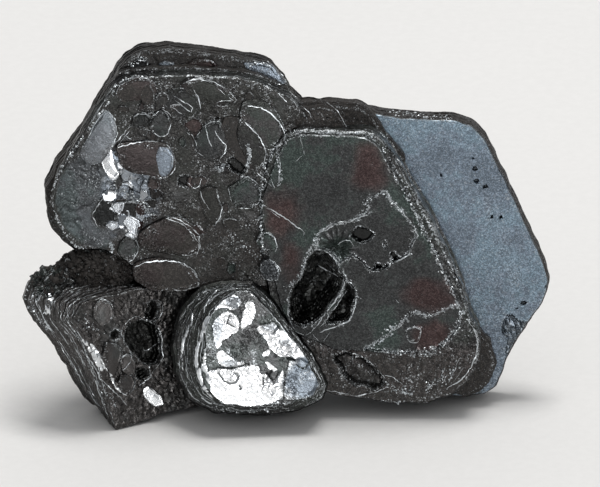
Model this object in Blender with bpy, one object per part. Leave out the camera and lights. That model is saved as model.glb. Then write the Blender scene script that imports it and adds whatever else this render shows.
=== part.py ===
"""A hematite specimen: flat six-sided crystals grown into each other, standing on their lower corners.

Metres, +Z up. The crystals face -Y. The origin is on the surface that the specimen stands on, under
the middle of its bounding box. Everything grew together, so the whole cluster is one solid.

Outlines are in millimetres as they are seen from VIEW_ELEVATION above the horizon, looking along +Y:
u runs to the right and v up. Those that show in the photo are written as they were read off it by eye,
"column,row" in pixels, and seen() turns them into millimetres. The rest are written in millimetres.
seen_on() carries such a point back onto the crystal face it belongs to.
"""

import math
import random

import bmesh
import bpy
from mathutils import Matrix, Vector, noise

# Driving dimensions
MM = 0.001
SPECIMEN_WIDTH = 60.0
OUTLINE_WIDTH = 60.0
SCALE = MM * SPECIMEN_WIDTH / OUTLINE_WIDTH
VIEW_ELEVATION = math.radians(24)
GROWTH_LEAN = math.radians(8)
FLOOR_LEVEL = 1.2
MIDDLE_ACROSS = 0.0
MIDDLE_DEPTH = 2.4
SEED = 26

# The photo's scale, in pixels: the column of u = 0, the row of v = 0 and the specimen's width. A point
# that is read by eye is good to a tenth of a millimetre.
PHOTO_MIDDLE = 288.5
PHOTO_FOOT = 413
PHOTO_WIDTH = 520.9
READ_DECIMALS = 1

# The view directions, and the shared growth plane: up the leaning faces, and straight out of them
ACROSS = Vector((1, 0, 0))
TO_EYE = Vector((0, -math.cos(VIEW_ELEVATION), math.sin(VIEW_ELEVATION)))
UP_SEEN = Vector((0, math.sin(VIEW_ELEVATION), math.cos(VIEW_ELEVATION)))
UP_FACE = Vector((0, math.sin(GROWTH_LEAN), math.cos(GROWTH_LEAN)))
OUT_OF_FACE = Vector((0, -math.cos(GROWTH_LEAN), math.sin(GROWTH_LEAN)))
SHIFT = -Vector((MIDDLE_ACROSS, MIDDLE_DEPTH, FLOOR_LEVEL))


def seen(pixels):
    """The points in mm that stand at these columns and rows of the photo."""
    points = []
    for pixel in pixels.split():
        column, row = (float(number) for number in pixel.split(","))
        u = (column - PHOTO_MIDDLE) * OUTLINE_WIDTH / PHOTO_WIDTH
        v = (PHOTO_FOOT - row) * OUTLINE_WIDTH / PHOTO_WIDTH
        points.append((round(u, READ_DECIMALS), round(v, READ_DECIMALS)))
    return points


# The right-hand plate: one broad smooth crystal at the back
RIGHT_FACE = seen("""
    320,112 362,114 400,120 455,122 470,127 483,141 503,181 523,223 540,258 546,279 545,291 540,303
    529,318 516,338 505,357 499,375 494,386 484,393 462,395.5 400,393 330,380 300,300 295,180
""")
RIGHT_CHIP = [
    (27.9, 11.0), (26.5, 12.0), (25.4, 10.6), (24.6, 8.6), (24.5, 6.2), (23.6, 4.4), (22.6, 2.6),
    (24.0, 1.0), (28.0, 4.0), (30.0, 10.0),
]

# The dull ledges between the right-hand plate and the front one
LOWER_LEDGE = seen("""
    285,104 330,104 356,107 371,113 381,127 396,147 406,158 404,176 418,205 440,250 458,288 467,313
    479,331 491,341 497,362 489,387 470,396.5 430,399 330,392 290,330 285,200
""")
UPPER_LEDGE = seen("""
    288,108 318,105.5 334,109 343,118 350,130 356,160 340,220 300,220 285,160
""")

# The front plate: a rim layer and a smooth layer on it, broken open in three places
FRONT_RIM = seen("""
    283,139 300,132 340,133 366,134 381,141 393,158 405,180 425,213 445,255 460,290 467,315 475,330
    478,347 474,365 463,383 446,395 425,401 395,402 365,397 335,394 318,386 292,345 272,300 262,250
    262,200 270,160
""")
FRONT_FACE = seen("""
    286,142 300,137 330,137 365,139 376,146 388,165 400,185 418,222 440,265 453,293 459,310 459,327
    450,341 430,351 400,353 365,350 335,348 310,338 292,330 280,300 268,250 262,205 275,165
""")
BROKEN_LAYER = seen("""
    318,232 330,225 347,221 362,218 366,206 385,193 398,205 412,222 417,240 410,256 395,262 383,268
    368,272 350,262 340,262 335,250
""")
CORNER_SLIVER = seen("""
    368,349 385,337 400,324 410,313 432,312 457,303 456,325 446.5,339 430,348 400,350
""")
LARGE_PIT = seen("""
    303,252 318,246 330,256 337,270 343,283 336,300 322,322 307,334 296,328 289,312 290,295 297,278
    301,262
""")
SIDE_PIT = seen("""
    345,280 354,288 356,300 351,318 335,327 322,333 316,330 330,315 342,298
""")

# The left-hand crystal: three thick layers, each set back from the one behind it
LEFT_BACK = seen("""
    50,190 60,168 85,135 112,90 128,66 142,56 170,54 205,57 240,62 265,68 280,78 291,95 305,112
    310,160 300,230 240,290 150,290 95,262 66,240 56,228 50,210
""")
LEFT_MIDDLE = seen("""
    56,190 63,169 78,145 98,112 112,88 124,76 150,72 190,71 238,74 264,80 284,90 300,104 310,120
    312,160 298,230 240,288 150,280 95,252 66,238 58,226 54,207
""")
LEFT_FRONT = seen("""
    59,190 66,170 80,146 100,114 115,91 127,82 155,79 190,78 235,80 262,86 282,95 300,109 311,126
    312,160 300,220 270,285 200,287 140,268 110,250 80,248 68,238 60,225 57,205
""")

# The lobed crystal low in front, and the turned one at the lower left, both stepped like terraces:
# the outline of the lowest step and that of the face, point for point
LOBED_BASE = seen("""
    174,345 177,325 187,305 203,290 228,283 253,284 272,300 292,330 312,355 326,384 322,397 297,410
    255,414 215,411 190,397 177,372
""")
LOBED_FACE = seen("""
    206,346 207,327 214,311 223,299 237,292 252,292 264,305 286,332 304,352 319,384 312,395 288,402
    251,405 222,402 207,386 202,366
""")
TURNED_BASE = seen("""
    61,336 46.5,318 37.5,298 43,276 67,262 110,262 180,270 210,300 212,373 190,388 165,389 140,391
    103.5,402.5 92.5,389 77.5,362.5
""")
TURNED_FACE = seen("""
    88,336 75,318 84,298 105,286 140,282 175,279 203,300 208,350 206,404 190,408 165,412 141,421
    121,429.5 112.5,400 101,360
""")

# Growth scales on the faces: where each is, how wide and tall, its corners, its turn, how far it
# stands proud of the face and how far its own face tilts up and round, in degrees
LEFT_SCALES = [
    (-17.5, 36.3, 5.3, 3.6, 6, 10, 0.35, 1, 3), (-12.0, 35.2, 4.8, 3.5, 6, 40, 0.55, 4, -4),
    (-8.8, 36.8, 6.6, 2.8, 7, 15, 0.35, -2, 3), (-3.3, 33.4, 6.2, 6.0, 8, 10, 0.70, 2, 4),
    (-5.0, 30.2, 5.0, 7.0, 7, 30, 0.95, -2, 5), (-17.2, 32.7, 3.0, 3.4, 7, 0, 0.55, 5, -6),
    (-14.6, 33.1, 2.8, 2.8, 8, 0, 0.80, 0, 3), (-16.2, 29.0, 7.0, 4.7, 9, 5, 0.75, 1, 4),
    (-20.4, 28.3, 2.2, 3.8, 6, 0, 0.50, 6, -12), (-11.2, 30.4, 3.2, 3.4, 6, 20, 0.75, -3, 2),
    (-8.8, 31.6, 3.6, 4.2, 7, 10, 1.00, 3, -3), (-7.3, 34.5, 3.4, 2.8, 6, 0, 0.60, -1, 6),
    (-6.4, 25.8, 7.0, 4.3, 8, 0, 0.55, 1, 3), (-13.1, 20.9, 6.0, 4.3, 8, 10, 0.60, -2, 5),
    (-14.2, 16.2, 8.0, 3.2, 8, 0, 0.70, 4, 2), (-18.1, 19.1, 2.6, 2.8, 8, 0, 0.60, 2, 6),
    (-20.3, 22.9, 2.2, 2.2, 7, 0, 0.45, -3, -5), (-18.0, 21.7, 2.6, 2.8, 5, 15, 0.75, 8, -10),
    (-2.5, 19.3, 3.0, 2.8, 7, 0, 1.30, 0, 2), (-2.0, 16.6, 3.0, 2.8, 7, 0, 1.20, 2, -3),
    (-9.8, 24.3, 4.2, 5.2, 6, 20, 0.70, -2, -4), (-12.2, 26.4, 3.6, 3.4, 6, 0, 0.60, 3, 5),
    (-16.2, 25.2, 3.2, 2.8, 5, 30, 0.55, -4, -6), (-19.3, 25.4, 2.6, 2.4, 6, 0, 0.60, 6, -8),
    (-5.2, 20.6, 4.6, 3.6, 6, 10, 0.55, -2, 3), (-8.8, 19.4, 4.0, 3.4, 6, 0, 0.50, 3, -2),
    (-11.6, 18.0, 3.4, 2.6, 5, 0, 0.45, 0, 6), (-20.9, 32.0, 3.0, 3.6, 6, 20, 0.30, 2, -3),
]
LEDGE_SCALES = [
    (-2.9, 39.0, 4.6, 1.9, 6, -20, 0.60, 6, 4), (-14.2, 39.7, 1.8, 1.9, 5, 0, 0.55, 2, -6),
    (-9.6, 39.6, 3.4, 1.5, 6, 5, 0.70, -4, 5), (-17.2, 39.6, 2.4, 1.5, 5, 20, 0.65, 8, -8),
    (-6.6, 39.3, 2.2, 1.3, 5, 0, 0.80, 4, 8),
]
TURNED_SCALES = [
    (-17.8, 6.0, 3.4, 3.6, 7, 0, 0.35, 2, -3), (-20.6, 12.6, 3.2, 2.4, 6, 10, 0.50, 6, -6),
    (-15.2, 13.2, 4.0, 2.0, 6, 0, 0.40, -3, 4), (-17.0, 2.2, 2.6, 2.2, 6, 15, 0.40, 3, 2),
    (-18.4, 9.6, 2.6, 2.0, 5, 0, 0.45, -2, 6),
]
LOBED_SCALES = [
    (-5.0, 7.2, 4.4, 3.2, 4, 8, 0.22, -3, 4), (-7.6, 11.0, 3.0, 3.4, 7, 0, 0.25, 4, -3),
    (-3.6, 11.2, 1.6, 2.6, 6, 20, 0.25, 5, 3),
]
TURNED_PITS = [
    (-15.2, 12.0, 1.9, 2.6, 7, 0, 1.1, 8, -14), (-15.0, 9.2, 3.4, 3.4, 8, 10, 1.5, -6, 12),
    (-17.2, 8.8, 2.0, 1.8, 6, 0, 0.7, 6, 4), (-15.6, 4.9, 2.4, 2.6, 7, 0, 1.2, 4, -10),
]
FRONT_SPOTS = [
    (8.6, 20.4, 2.4, 1.7, 6, 10, 1.0, 8, 10), (10.4, 16.9, 1.5, 1.0, 5, 25, 0.8, 4, -8),
    (12.2, 17.7, 1.3, 0.9, 5, 0, 0.8, -4, 8),
]

# The hidden side: crystals that face the other way, the largest of them reaching down as a back foot
BACK_FOOT = [
    (-21.0, 20.5), (-17.5, 29.0), (-8.0, 31.0), (-1.0, 27.5), (1.2, 18.0), (-1.6, 8.6),
    (-7.0, 4.7), (-13.0, 4.9), (-18.2, 10.2),
]
BACK_RIGHT = [
    (2.0, 9.5), (3.0, 22.5), (9.0, 28.5), (17.0, 27.0), (21.5, 19.5), (20.0, 11.0), (12.0, 6.4),
]
BACK_SMALL = [
    (-9.0, 24.0), (-8.0, 33.5), (-2.5, 36.5), (4.0, 34.0), (6.0, 27.0), (1.5, 21.5), (-5.0, 20.5),
]
BACK_SCALES = [
    (-12.0, 21.5, 8.0, 7.0, 6, 12, 0.45, 1, 2), (-6.5, 13.5, 6.0, 5.0, 6, 30, 0.40, -1, -2),
    (-15.0, 14.0, 4.4, 4.0, 6, 0, 0.55, 2, 3), (-9.5, 18.0, 3.4, 3.6, 7, 10, 0.80, -3, 2),
]
BACK_RIGHT_SCALES = [
    (13.5, 21.0, 7.0, 6.0, 6, 20, 0.40, 1, -2), (9.0, 14.5, 5.0, 4.4, 6, 0, 0.55, -2, 3),
]

# The rough brown pocket at the left and the crumbly corner under it: the middle and reach of each
# patch of grains, in the same view, and how far out it lies
POCKET = ((-21.8, 17.0), (3.2, 1.5), 3.0, 16, (0.9, 1.7))
CRUMBLED_CORNER = ((-27.6, 14.6), (1.2, 1.5), 6.4, 9, (0.9, 1.5))
CORE_MIDDLE = (-3.5, 18.0, -1.6)
CORE_RADII = (21.0, 4.2, 13.5)
CORE_ROUGHNESS = 0.9


def growth_point(u, v, out):
    """The point seen at (u, v) that stands this far out in front of the shared growth plane, in mm."""
    tilt = VIEW_ELEVATION - GROWTH_LEAN
    up = (v + out * math.sin(tilt)) / math.cos(tilt)
    return ACROSS * u + UP_FACE * up + OUT_OF_FACE * out + SHIFT


def face_frame(u, v, out, lean, yaw):
    """The frame of a crystal face: its origin is seen at (u, v), x runs across, y up and z out of it."""
    lean, yaw = math.radians(lean), math.radians(yaw)
    normal = Vector((math.sin(yaw) * math.cos(lean), -math.cos(yaw) * math.cos(lean), math.sin(lean)))
    across = Vector((math.cos(yaw), math.sin(yaw), 0))
    frame = Matrix((across, normal.cross(across), normal)).transposed().to_4x4()
    frame.translation = growth_point(u, v, out)
    return frame


def seen_on(frame, u, v):
    """Where the line of sight through (u, v) meets the face of this frame, in the frame's own x and y."""
    normal = frame.col[2].to_3d()
    start = ACROSS * u + UP_SEEN * v + SHIFT
    along = normal.dot(frame.translation - start) / normal.dot(TO_EYE)
    local = frame.inverted() @ (start + TO_EYE * along)
    return local.x, local.y


def tilted(frame, u, v, proud, lean, yaw):
    """A frame at the point of this face seen at (u, v), raised and turned a little from the face."""
    x, y = seen_on(frame, u, v)
    turn = Matrix.Rotation(math.radians(-lean), 4, "X") @ Matrix.Rotation(math.radians(yaw), 4, "Y")
    return frame @ Matrix.Translation((x, y, proud)) @ turn


def new_collection(name, hidden=False):
    collection = bpy.data.collections.new(name)
    bpy.context.scene.collection.children.link(collection)
    collection.hide_render = hidden
    return collection


def add_mesh(name, mesh, collection, matrix=None):
    """Links an object with this mesh. In a hidden collection it is a helper for a Boolean."""
    obj = bpy.data.objects.new(name, mesh)
    collection.objects.link(obj)
    if matrix is not None:
        obj.matrix_world = matrix
    if collection.hide_render:
        obj.hide_render = True
        obj.display_type = "WIRE"
    return obj


def add_slab(name, collection, frame, outline, thick, bevel):
    """A flat crystal layer: its face lies in the frame's plane, with this outline there, in mm, and
    its rim slopes out by the bevel before it goes straight back."""
    curve = bpy.data.curves.new(name, "CURVE")
    curve.dimensions = "2D"
    curve.fill_mode = "BOTH"
    curve.extrude = SCALE * (thick / 2 - bevel)
    curve.bevel_depth = SCALE * bevel
    curve.bevel_resolution = 0
    spline = curve.splines.new("POLY")
    spline.points.add(len(outline) - 1)
    for point, (x, y) in zip(spline.points, outline):
        point.co = (SCALE * x, SCALE * y, 0, 1)
    spline.use_cyclic_u = True
    flat = bpy.data.objects.new(name, curve)
    bpy.context.scene.collection.objects.link(flat)
    bpy.context.view_layer.update()
    mesh = bpy.data.meshes.new_from_object(flat.evaluated_get(bpy.context.evaluated_depsgraph_get()))
    bpy.data.objects.remove(flat)
    weld(mesh)
    placed = frame @ Matrix.Translation((0, 0, -thick / 2))
    placed.translation *= SCALE
    return add_mesh(name, mesh, collection, placed)


def weld(mesh):
    """Joins the loose caps of a converted curve to its sides and turns every face outwards."""
    work = bmesh.new()
    work.from_mesh(mesh)
    bmesh.ops.remove_doubles(work, verts=work.verts, dist=1e-3 * MM)
    bmesh.ops.recalc_face_normals(work, faces=work.faces)
    work.to_mesh(mesh)
    work.free()


def add_layer(name, collection, frame, outline, behind, thick, bevel):
    """A layer of a crystal whose own face lies this far behind the crystal's front face."""
    layer_frame = frame @ Matrix.Translation((0, 0, -behind))
    local = [seen_on(layer_frame, u, v) for u, v in outline]
    return add_slab(name, collection, layer_frame, local, thick, bevel)


def add_terraces(name, collection, frame, base, face, steps, depth, rng):
    """A stepped crystal: each layer's outline lies between that of the base and that of the face, a
    little off its even place, as growth steps are."""
    step_depth = depth / (steps - 1)
    for i in range(steps):
        share = i / (steps - 1)
        if 0 < share < 1:
            share += rng.uniform(-0.35, 0.35) / (steps - 1)
        outline = [
            (a[0] + (b[0] - a[0]) * share, a[1] + (b[1] - a[1]) * share) for a, b in zip(base, face)
        ]
        behind = depth - i * step_depth
        add_layer(f"{name}_{i}", collection, frame, outline, behind, step_depth + 1.3, 0.22)


def rounded_polygon(sides, wide, tall, turn, rng):
    """An uneven polygon with this many corners that fits in wide by tall."""
    points = []
    for i in range(sides):
        angle = math.radians(turn) + math.tau * (i + rng.uniform(-0.16, 0.16)) / sides
        reach = rng.uniform(0.44, 0.53)
        points.append((wide * reach * math.cos(angle), tall * reach * math.sin(angle)))
    return points


def add_scales(name, collection, frame, scales, rng, root=1.0, bevel=0.12):
    """Thin growth scales rooted in a crystal face, each on its own slightly tilted plane."""
    for i, (u, v, wide, tall, sides, turn, proud, lean, yaw) in enumerate(scales):
        scale_frame = tilted(frame, u, v, proud, lean, yaw)
        outline = rounded_polygon(sides, wide, tall, turn, rng)
        add_slab(f"{name}_{i}", collection, scale_frame, outline, proud + root, bevel)


def add_pits(name, collection, frame, pits, rng, clear=1.5):
    """Cutters for small pits: each floor lies the given depth under the face, tilted."""
    for i, (u, v, wide, tall, sides, turn, deep, lean, yaw) in enumerate(pits):
        floor = tilted(frame, u, v, -deep, lean, yaw) @ Matrix.Translation((0, 0, deep + clear))
        outline = rounded_polygon(sides, wide, tall, turn, rng)
        add_slab(f"{name}_{i}", collection, floor, outline, deep + clear, 0.05)


def add_recess(name, collection, frame, outline, deep, lean=0.0, yaw=0.0, clear=1.5):
    """A cutter with this seen outline, whose floor lies this deep under the face."""
    u = sum(point[0] for point in outline) / len(outline)
    v = sum(point[1] for point in outline) / len(outline)
    top = tilted(frame, u, v, -deep, lean, yaw) @ Matrix.Translation((0, 0, deep + clear))
    local = [seen_on(top, *point) for point in outline]
    add_slab(name, collection, top, local, deep + clear, 0.05)


def add_grains(name, collection, patch, rng):
    """Small blocky crystals turned every way, sunk into the patch that they fill."""
    (u, v), (reach_u, reach_v), out, count, (small, large) = patch
    for i in range(count):
        mesh = bpy.data.meshes.new(f"{name}_{i}")
        work = bmesh.new()
        size = rng.uniform(small, large)
        bmesh.ops.create_cone(
            work, cap_ends=True, segments=6, radius1=SCALE * size * 0.7, radius2=SCALE * size * 0.5,
            depth=SCALE * size,
        )
        work.to_mesh(mesh)
        work.free()
        at = growth_point(
            u + rng.uniform(-reach_u, reach_u), v + rng.uniform(-reach_v, reach_v),
            out + rng.uniform(-0.6, 0.2),
        )
        turn = Matrix.Rotation(rng.uniform(0, math.tau), 4, (rng.random(), rng.random(), 1))
        add_mesh(f"{name}_{i}", mesh, collection, Matrix.Translation(at * SCALE) @ turn)


def core_mesh(name):
    """The rough body that the crystals grew from: a flattened ball pushed in and out by noise."""
    mesh = bpy.data.meshes.new(name)
    work = bmesh.new()
    bmesh.ops.create_icosphere(work, subdivisions=3, radius=1.0)
    middle = growth_point(*CORE_MIDDLE)
    for vertex in work.verts:
        radii = Vector(CORE_RADII)
        rough = noise.noise(vertex.co * 3.0) + 0.6 * noise.noise(vertex.co * 8.0)
        at = Vector(vertex.co[i] * (radii[i] + CORE_ROUGHNESS * rough) for i in range(3))
        vertex.co = SCALE * (middle + at)
    work.to_mesh(mesh)
    work.free()
    return mesh


def block_mesh(name, low, high):
    mesh = bpy.data.meshes.new(name)
    work = bmesh.new()
    bmesh.ops.create_cube(work, size=1.0)
    for vertex in work.verts:
        vertex.co = Vector(low[i] + (high[i] - low[i]) * (vertex.co[i] + 0.5) for i in range(3))
    work.to_mesh(mesh)
    work.free()
    return mesh


def add_boolean(obj, operation, collection):
    modifier = obj.modifiers.new(collection.name, "BOOLEAN")
    modifier.operation = operation
    modifier.operand_type = "COLLECTION"
    modifier.collection = collection
    modifier.solver = "EXACT"


def hematite_material():
    material = bpy.data.materials.new("hematite")
    material.use_nodes = True
    shader = material.node_tree.nodes["Principled BSDF"]
    shader.inputs["Base Color"].default_value = (0.085, 0.085, 0.09, 1)
    shader.inputs["Metallic"].default_value = 1.0
    shader.inputs["Roughness"].default_value = 0.35
    return material


def grow_right_plate(grown, pits):
    frame = face_frame(14.0, 18.0, 0.0, 8, 0)
    add_layer("right_front", grown, frame, RIGHT_FACE, 0.0, 1.6, 0.3)
    add_layer("right_back", grown, frame, RIGHT_FACE, 1.35, 1.85, 0.35)
    add_recess("right_chip", pits, frame, RIGHT_CHIP, 0.45, lean=4, yaw=3)


def grow_ledges(grown):
    lower = face_frame(12.0, 18.0, 1.9, 8, 1)
    add_layer("lower_ledge", grown, lower, LOWER_LEDGE, 0.0, 2.5, 0.3)
    upper = face_frame(4.0, 30.0, 3.2, 9, 3)
    add_layer("upper_ledge", grown, upper, UPPER_LEDGE, 0.0, 2.2, 0.25)


def grow_front_plate(grown, pits, rng):
    rim = face_frame(9.0, 17.0, 4.4, 8, -1)
    add_layer("front_rim", grown, rim, FRONT_RIM, 0.0, 2.0, 0.35)
    add_layer("front_rim_back", grown, rim, FRONT_RIM, 1.8, 2.6, 0.45)
    face = face_frame(9.0, 17.0, 5.0, 8.5, -1.5)
    add_layer("front_face", grown, face, FRONT_FACE, 0.0, 1.5, 0.25)
    add_recess("front_broken", pits, face, BROKEN_LAYER, 0.32, lean=0.5, yaw=-0.5)
    add_recess("front_sliver", pits, face, CORNER_SLIVER, 0.28, lean=-0.5)
    add_recess("front_large_pit", pits, face, LARGE_PIT, 1.9, lean=-8, yaw=16)
    add_recess("front_side_pit", pits, face, SIDE_PIT, 1.1, lean=6, yaw=-14)
    add_pits("front_spot", pits, face, FRONT_SPOTS, rng)


def grow_left_crystal(grown, rng):
    frame = face_frame(-12.0, 28.0, 4.2, 9, 4)
    add_layer("left_back", grown, frame, LEFT_BACK, 3.4, 2.4, 0.4)
    add_layer("left_rear", grown, frame, LEFT_BACK, 5.5, 2.2, 0.45)
    add_layer("left_middle", grown, frame, LEFT_MIDDLE, 1.8, 2.2, 0.25)
    add_layer("left_front", grown, frame, LEFT_FRONT, 0.0, 2.4, 0.3)
    add_scales("left_scale", grown, frame, LEFT_SCALES, rng)
    ledge = frame @ Matrix.Translation((0, 0, -3.4))
    add_scales("ledge_scale", grown, ledge, LEDGE_SCALES, rng)


def grow_lobed_crystal(grown, rng):
    frame = face_frame(-4.0, 7.0, 9.0, 11, 5)
    add_terraces("lobed", grown, frame, LOBED_BASE, LOBED_FACE, 5, 3.6, rng)
    add_layer("lobed_root", grown, frame, LOBED_FACE, 4.2, 4.6, 0.2)
    add_scales("lobed_scale", grown, frame, LOBED_SCALES, rng)


def grow_turned_crystal(grown, pits, rng):
    frame = face_frame(-16.5, 7.0, 5.4, 9, 28)
    add_terraces("turned", grown, frame, TURNED_BASE, TURNED_FACE, 6, 5.2, rng)
    add_scales("turned_scale", grown, frame, TURNED_SCALES, rng)
    add_pits("turned_pit", pits, frame, TURNED_PITS, rng)


def grow_back(grown, rng):
    foot = face_frame(-9.0, 17.0, -8.6, 12, 176)
    add_layer("back_foot", grown, foot, BACK_FOOT, 0.0, 3.4, 0.4)
    add_scales("back_scale", grown, foot, BACK_SCALES, rng)
    right = face_frame(12.0, 18.0, -6.2, 3, 186)
    add_layer("back_right", grown, right, BACK_RIGHT, 0.0, 3.8, 0.4)
    add_scales("back_right_scale", grown, right, BACK_RIGHT_SCALES, rng)
    small = face_frame(-2.0, 29.0, -6.4, -2, 172)
    add_layer("back_small", grown, small, BACK_SMALL, 0.0, 4.0, 0.35)


def build():
    for obj in list(bpy.data.objects):
        bpy.data.objects.remove(obj)
    rng = random.Random(SEED)
    specimen = new_collection("hematite_specimen_parts")
    grown = new_collection("grown_layers", hidden=True)
    pits = new_collection("pits", hidden=True)
    grains = new_collection("grains", hidden=True)
    below = new_collection("below_the_floor", hidden=True)
    grow_right_plate(grown, pits)
    grow_ledges(grown)
    grow_front_plate(grown, pits, rng)
    grow_left_crystal(grown, rng)
    grow_lobed_crystal(grown, rng)
    grow_turned_crystal(grown, pits, rng)
    grow_back(grown, rng)
    add_grains("pocket_grain", grains, POCKET, rng)
    add_grains("corner_grain", grains, CRUMBLED_CORNER, rng)
    add_mesh("below", block_mesh("below", (-0.1, -0.1, -0.02), (0.1, 0.1, 0.0)), below)

    cluster = add_mesh("hematite_specimen", core_mesh("hematite_specimen"), specimen)
    cluster.data.materials.append(hematite_material())
    add_boolean(cluster, "UNION", grown)
    add_boolean(cluster, "DIFFERENCE", pits)
    add_boolean(cluster, "UNION", grains)
    add_boolean(cluster, "DIFFERENCE", below)


build()
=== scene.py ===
"""The looks of a hematite specimen: flat metallic crystals with stepped rims, growth scales, broken
layers, mirror-bright patches and rough brown pockets, worked out with numpy around the packed part.

Outlines are in mm as the camera sees them, u to the right and v up. Most were read off the photo by
eye, and are written as its columns and rows, in pixels, which seen() turns into mm. A Plane carries
such a point back along the line of sight onto the crystal face that it belongs to.
"""

import functools
import math

import bpy
import numpy as np
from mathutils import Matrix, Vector
from mathutils.bvhtree import BVHTree


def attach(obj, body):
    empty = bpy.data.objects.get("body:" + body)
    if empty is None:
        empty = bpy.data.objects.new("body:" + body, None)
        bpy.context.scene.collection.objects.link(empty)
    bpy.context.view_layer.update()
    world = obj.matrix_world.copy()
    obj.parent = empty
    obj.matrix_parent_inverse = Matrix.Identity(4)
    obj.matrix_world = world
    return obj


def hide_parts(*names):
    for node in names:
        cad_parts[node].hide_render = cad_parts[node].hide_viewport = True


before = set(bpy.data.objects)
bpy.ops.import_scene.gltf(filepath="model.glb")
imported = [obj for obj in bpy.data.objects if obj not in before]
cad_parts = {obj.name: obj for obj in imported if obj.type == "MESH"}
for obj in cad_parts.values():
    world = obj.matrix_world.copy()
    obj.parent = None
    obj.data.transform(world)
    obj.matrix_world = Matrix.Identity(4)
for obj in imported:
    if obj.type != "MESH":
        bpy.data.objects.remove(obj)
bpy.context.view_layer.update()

bl_info = {
    "name": "Hematite specimen",
    "version": (1, 0, 0),
    "blender": (4, 5, 0),
    "location": "3D View > Sidebar > Specimen",
    "description": "Grows the crystals of a hematite specimen and lights them on a pale table",
    "category": "Add Mesh",
}

NODE = "hematite_specimen"
MM = 0.001
SPECIMEN_WIDTH = 60.0
VIEW_ELEVATION = math.radians(24)
GROWTH_LEAN = math.radians(8)
MIDDLE = np.array((0.0, 2.4, 1.2))
UP_SEEN = np.array((0, math.sin(VIEW_ELEVATION), math.cos(VIEW_ELEVATION)))
TO_EYE = np.array((0, -math.cos(VIEW_ELEVATION), math.sin(VIEW_ELEVATION)))
UP_FACE = np.array((0, math.sin(GROWTH_LEAN), math.cos(GROWTH_LEAN)))
OUT_OF_FACE = np.array((0, -math.cos(GROWTH_LEAN), math.sin(GROWTH_LEAN)))
ACROSS = np.array((1.0, 0.0, 0.0))
# Finish marks of the mesh: the edge mark paints glints on rims, lips and grains; the fresh mark paints fresh
# faces mirror-bright, a painted reflection; the pit mark paints pits near-black, a painted shade; red and
# blue tint the metal, the red partly as a painted reflection; dull gives brown earth and sand a dark, gritty
# ground
MARKS = ("edge", "fresh", "dull", "blue", "red", "pit", "sand")

# The photo's scale, in pixels: the column of u = 0, the row of v = 0 and the specimen's width
PHOTO_MIDDLE = 288.5
PHOTO_FOOT = 413
PHOTO_WIDTH = 520.9


def seen(pixels):
    """The points in mm that stand at these columns and rows of the photo: the step from the photo's
    middle and foot, times the specimen's width over its width in pixels."""
    places = np.array([pixel.split(",") for pixel in pixels.split()], float)
    return (places - (PHOTO_MIDDLE, PHOTO_FOOT)) * (1, -1) * SPECIMEN_WIDTH / PHOTO_WIDTH


# The right-hand plate, its chipped corner, in mm, and the small pits near its edge
RIGHT_FACE = seen("""
    320,112 362,114 400,120 455,122 470,127 483,141 503,181 523,223 540,258 546,279 545,291 540,303
    529,318 516,338 505,357 499,375 494,386 484,393 462,395.5 400,393 330,380 300,300 295,180
""")
RIGHT_CHIP = seen("504,318 511,316 519,322 528,322 541,330 521,346 512,362 505,353 507,341 502,330")
RIGHT_HAZE = seen("475,187 498.5,235 516,283 521,322")
# Small pits: columns and rows, then their radii in mm
RIGHT_SPOTS = seen("""
    472,158.5 474.5,169 475,181.5 484,187 491,217.5 500.5,217 523,303 516.5,308.5 546,285.5 441,175
""")
SPOT_SIZES = (0.13, 0.24, 0.24, 0.2, 0.14, 0.17, 0.25, 0.12, 0.16, 0.09)

# The dull ledges between the right-hand plate and the front one
LOWER_LEDGE = seen("""
    285,104 330,104 356,107 371,113 381,127 396,147 406,158 404,176 418,205 440,250 458,288 467,313
    479,331 491,341 497,362 489,387 470,396.5 430,399 330,392 290,330 285,200
""")
UPPER_LEDGE = seen("288,108 318,105.5 334,109 343,118 350,130 356,160 340,220 300,220 285,160")

# The front plate: its rim layer, the smooth layer on it, and the places where that is broken open
FRONT_RIM = seen("""
    283,139 300,132 340,133 366,134 381,141 393,158 405,180 425,213 445,255 460,290 467,315 475,330
    478,347 474,365 463,383 446,395 425,401 395,402 365,397 335,394 318,386 292,345 272,300 262,250
    262,200 270,160
""")
FRONT_FACE = seen("""
    286,142 300,137 330,137 365,139 376,146 388,165 400,185 418,222 440,265 453,293 459,310 459,327
    450,341 430,351 400,353 365,350 335,348 310,338 292,330 280,300 268,250 262,205 275,165
""")
BROKEN_LAYER = seen("""
    321,231 335,224 349,222 357.5,217 369,214.5 366,200 378,195.5 385,192 388,199.5 397,208.5 411.5,226
    415.5,236 411.5,245.5 406.5,255.5 391,262.5 386,268 372,270 357.5,259.5 351.5,255.5 339,263.5
    333,254.5 318,247.5 315.5,241
""")
BROKEN_PITS = [
    seen("352.5,231 357.5,227 364.5,229 374,234 370,241 361.5,244.5 355.5,241 349.5,237"),
    seen("390,253.5 393.5,252.5 398.5,258.5 392,261.5 389,257.5"),
    seen("372,270 376,263.5 382,265.5 387,265.5 385,269 377,271"),
    seen("383,241 385,241 387,250.5 384,250.5 382.5,245.5"),
]
SLIVER = seen("""
    364,348.5 376.5,341 389.5,333 402,324 406,315.5 415,311.5 422.5,315.5 431.5,315.5 450.5,306.5
    458,304 461,311.5 460,320.5 457,329.5 449,338.5 438,347 427.5,354 402,352.5 381.5,351
""")
HEXAGON_ETCH = seen("406,329.5 413.5,327 420.5,328 419.5,334.5 416.5,340 408.5,341 406,335.5")
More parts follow.
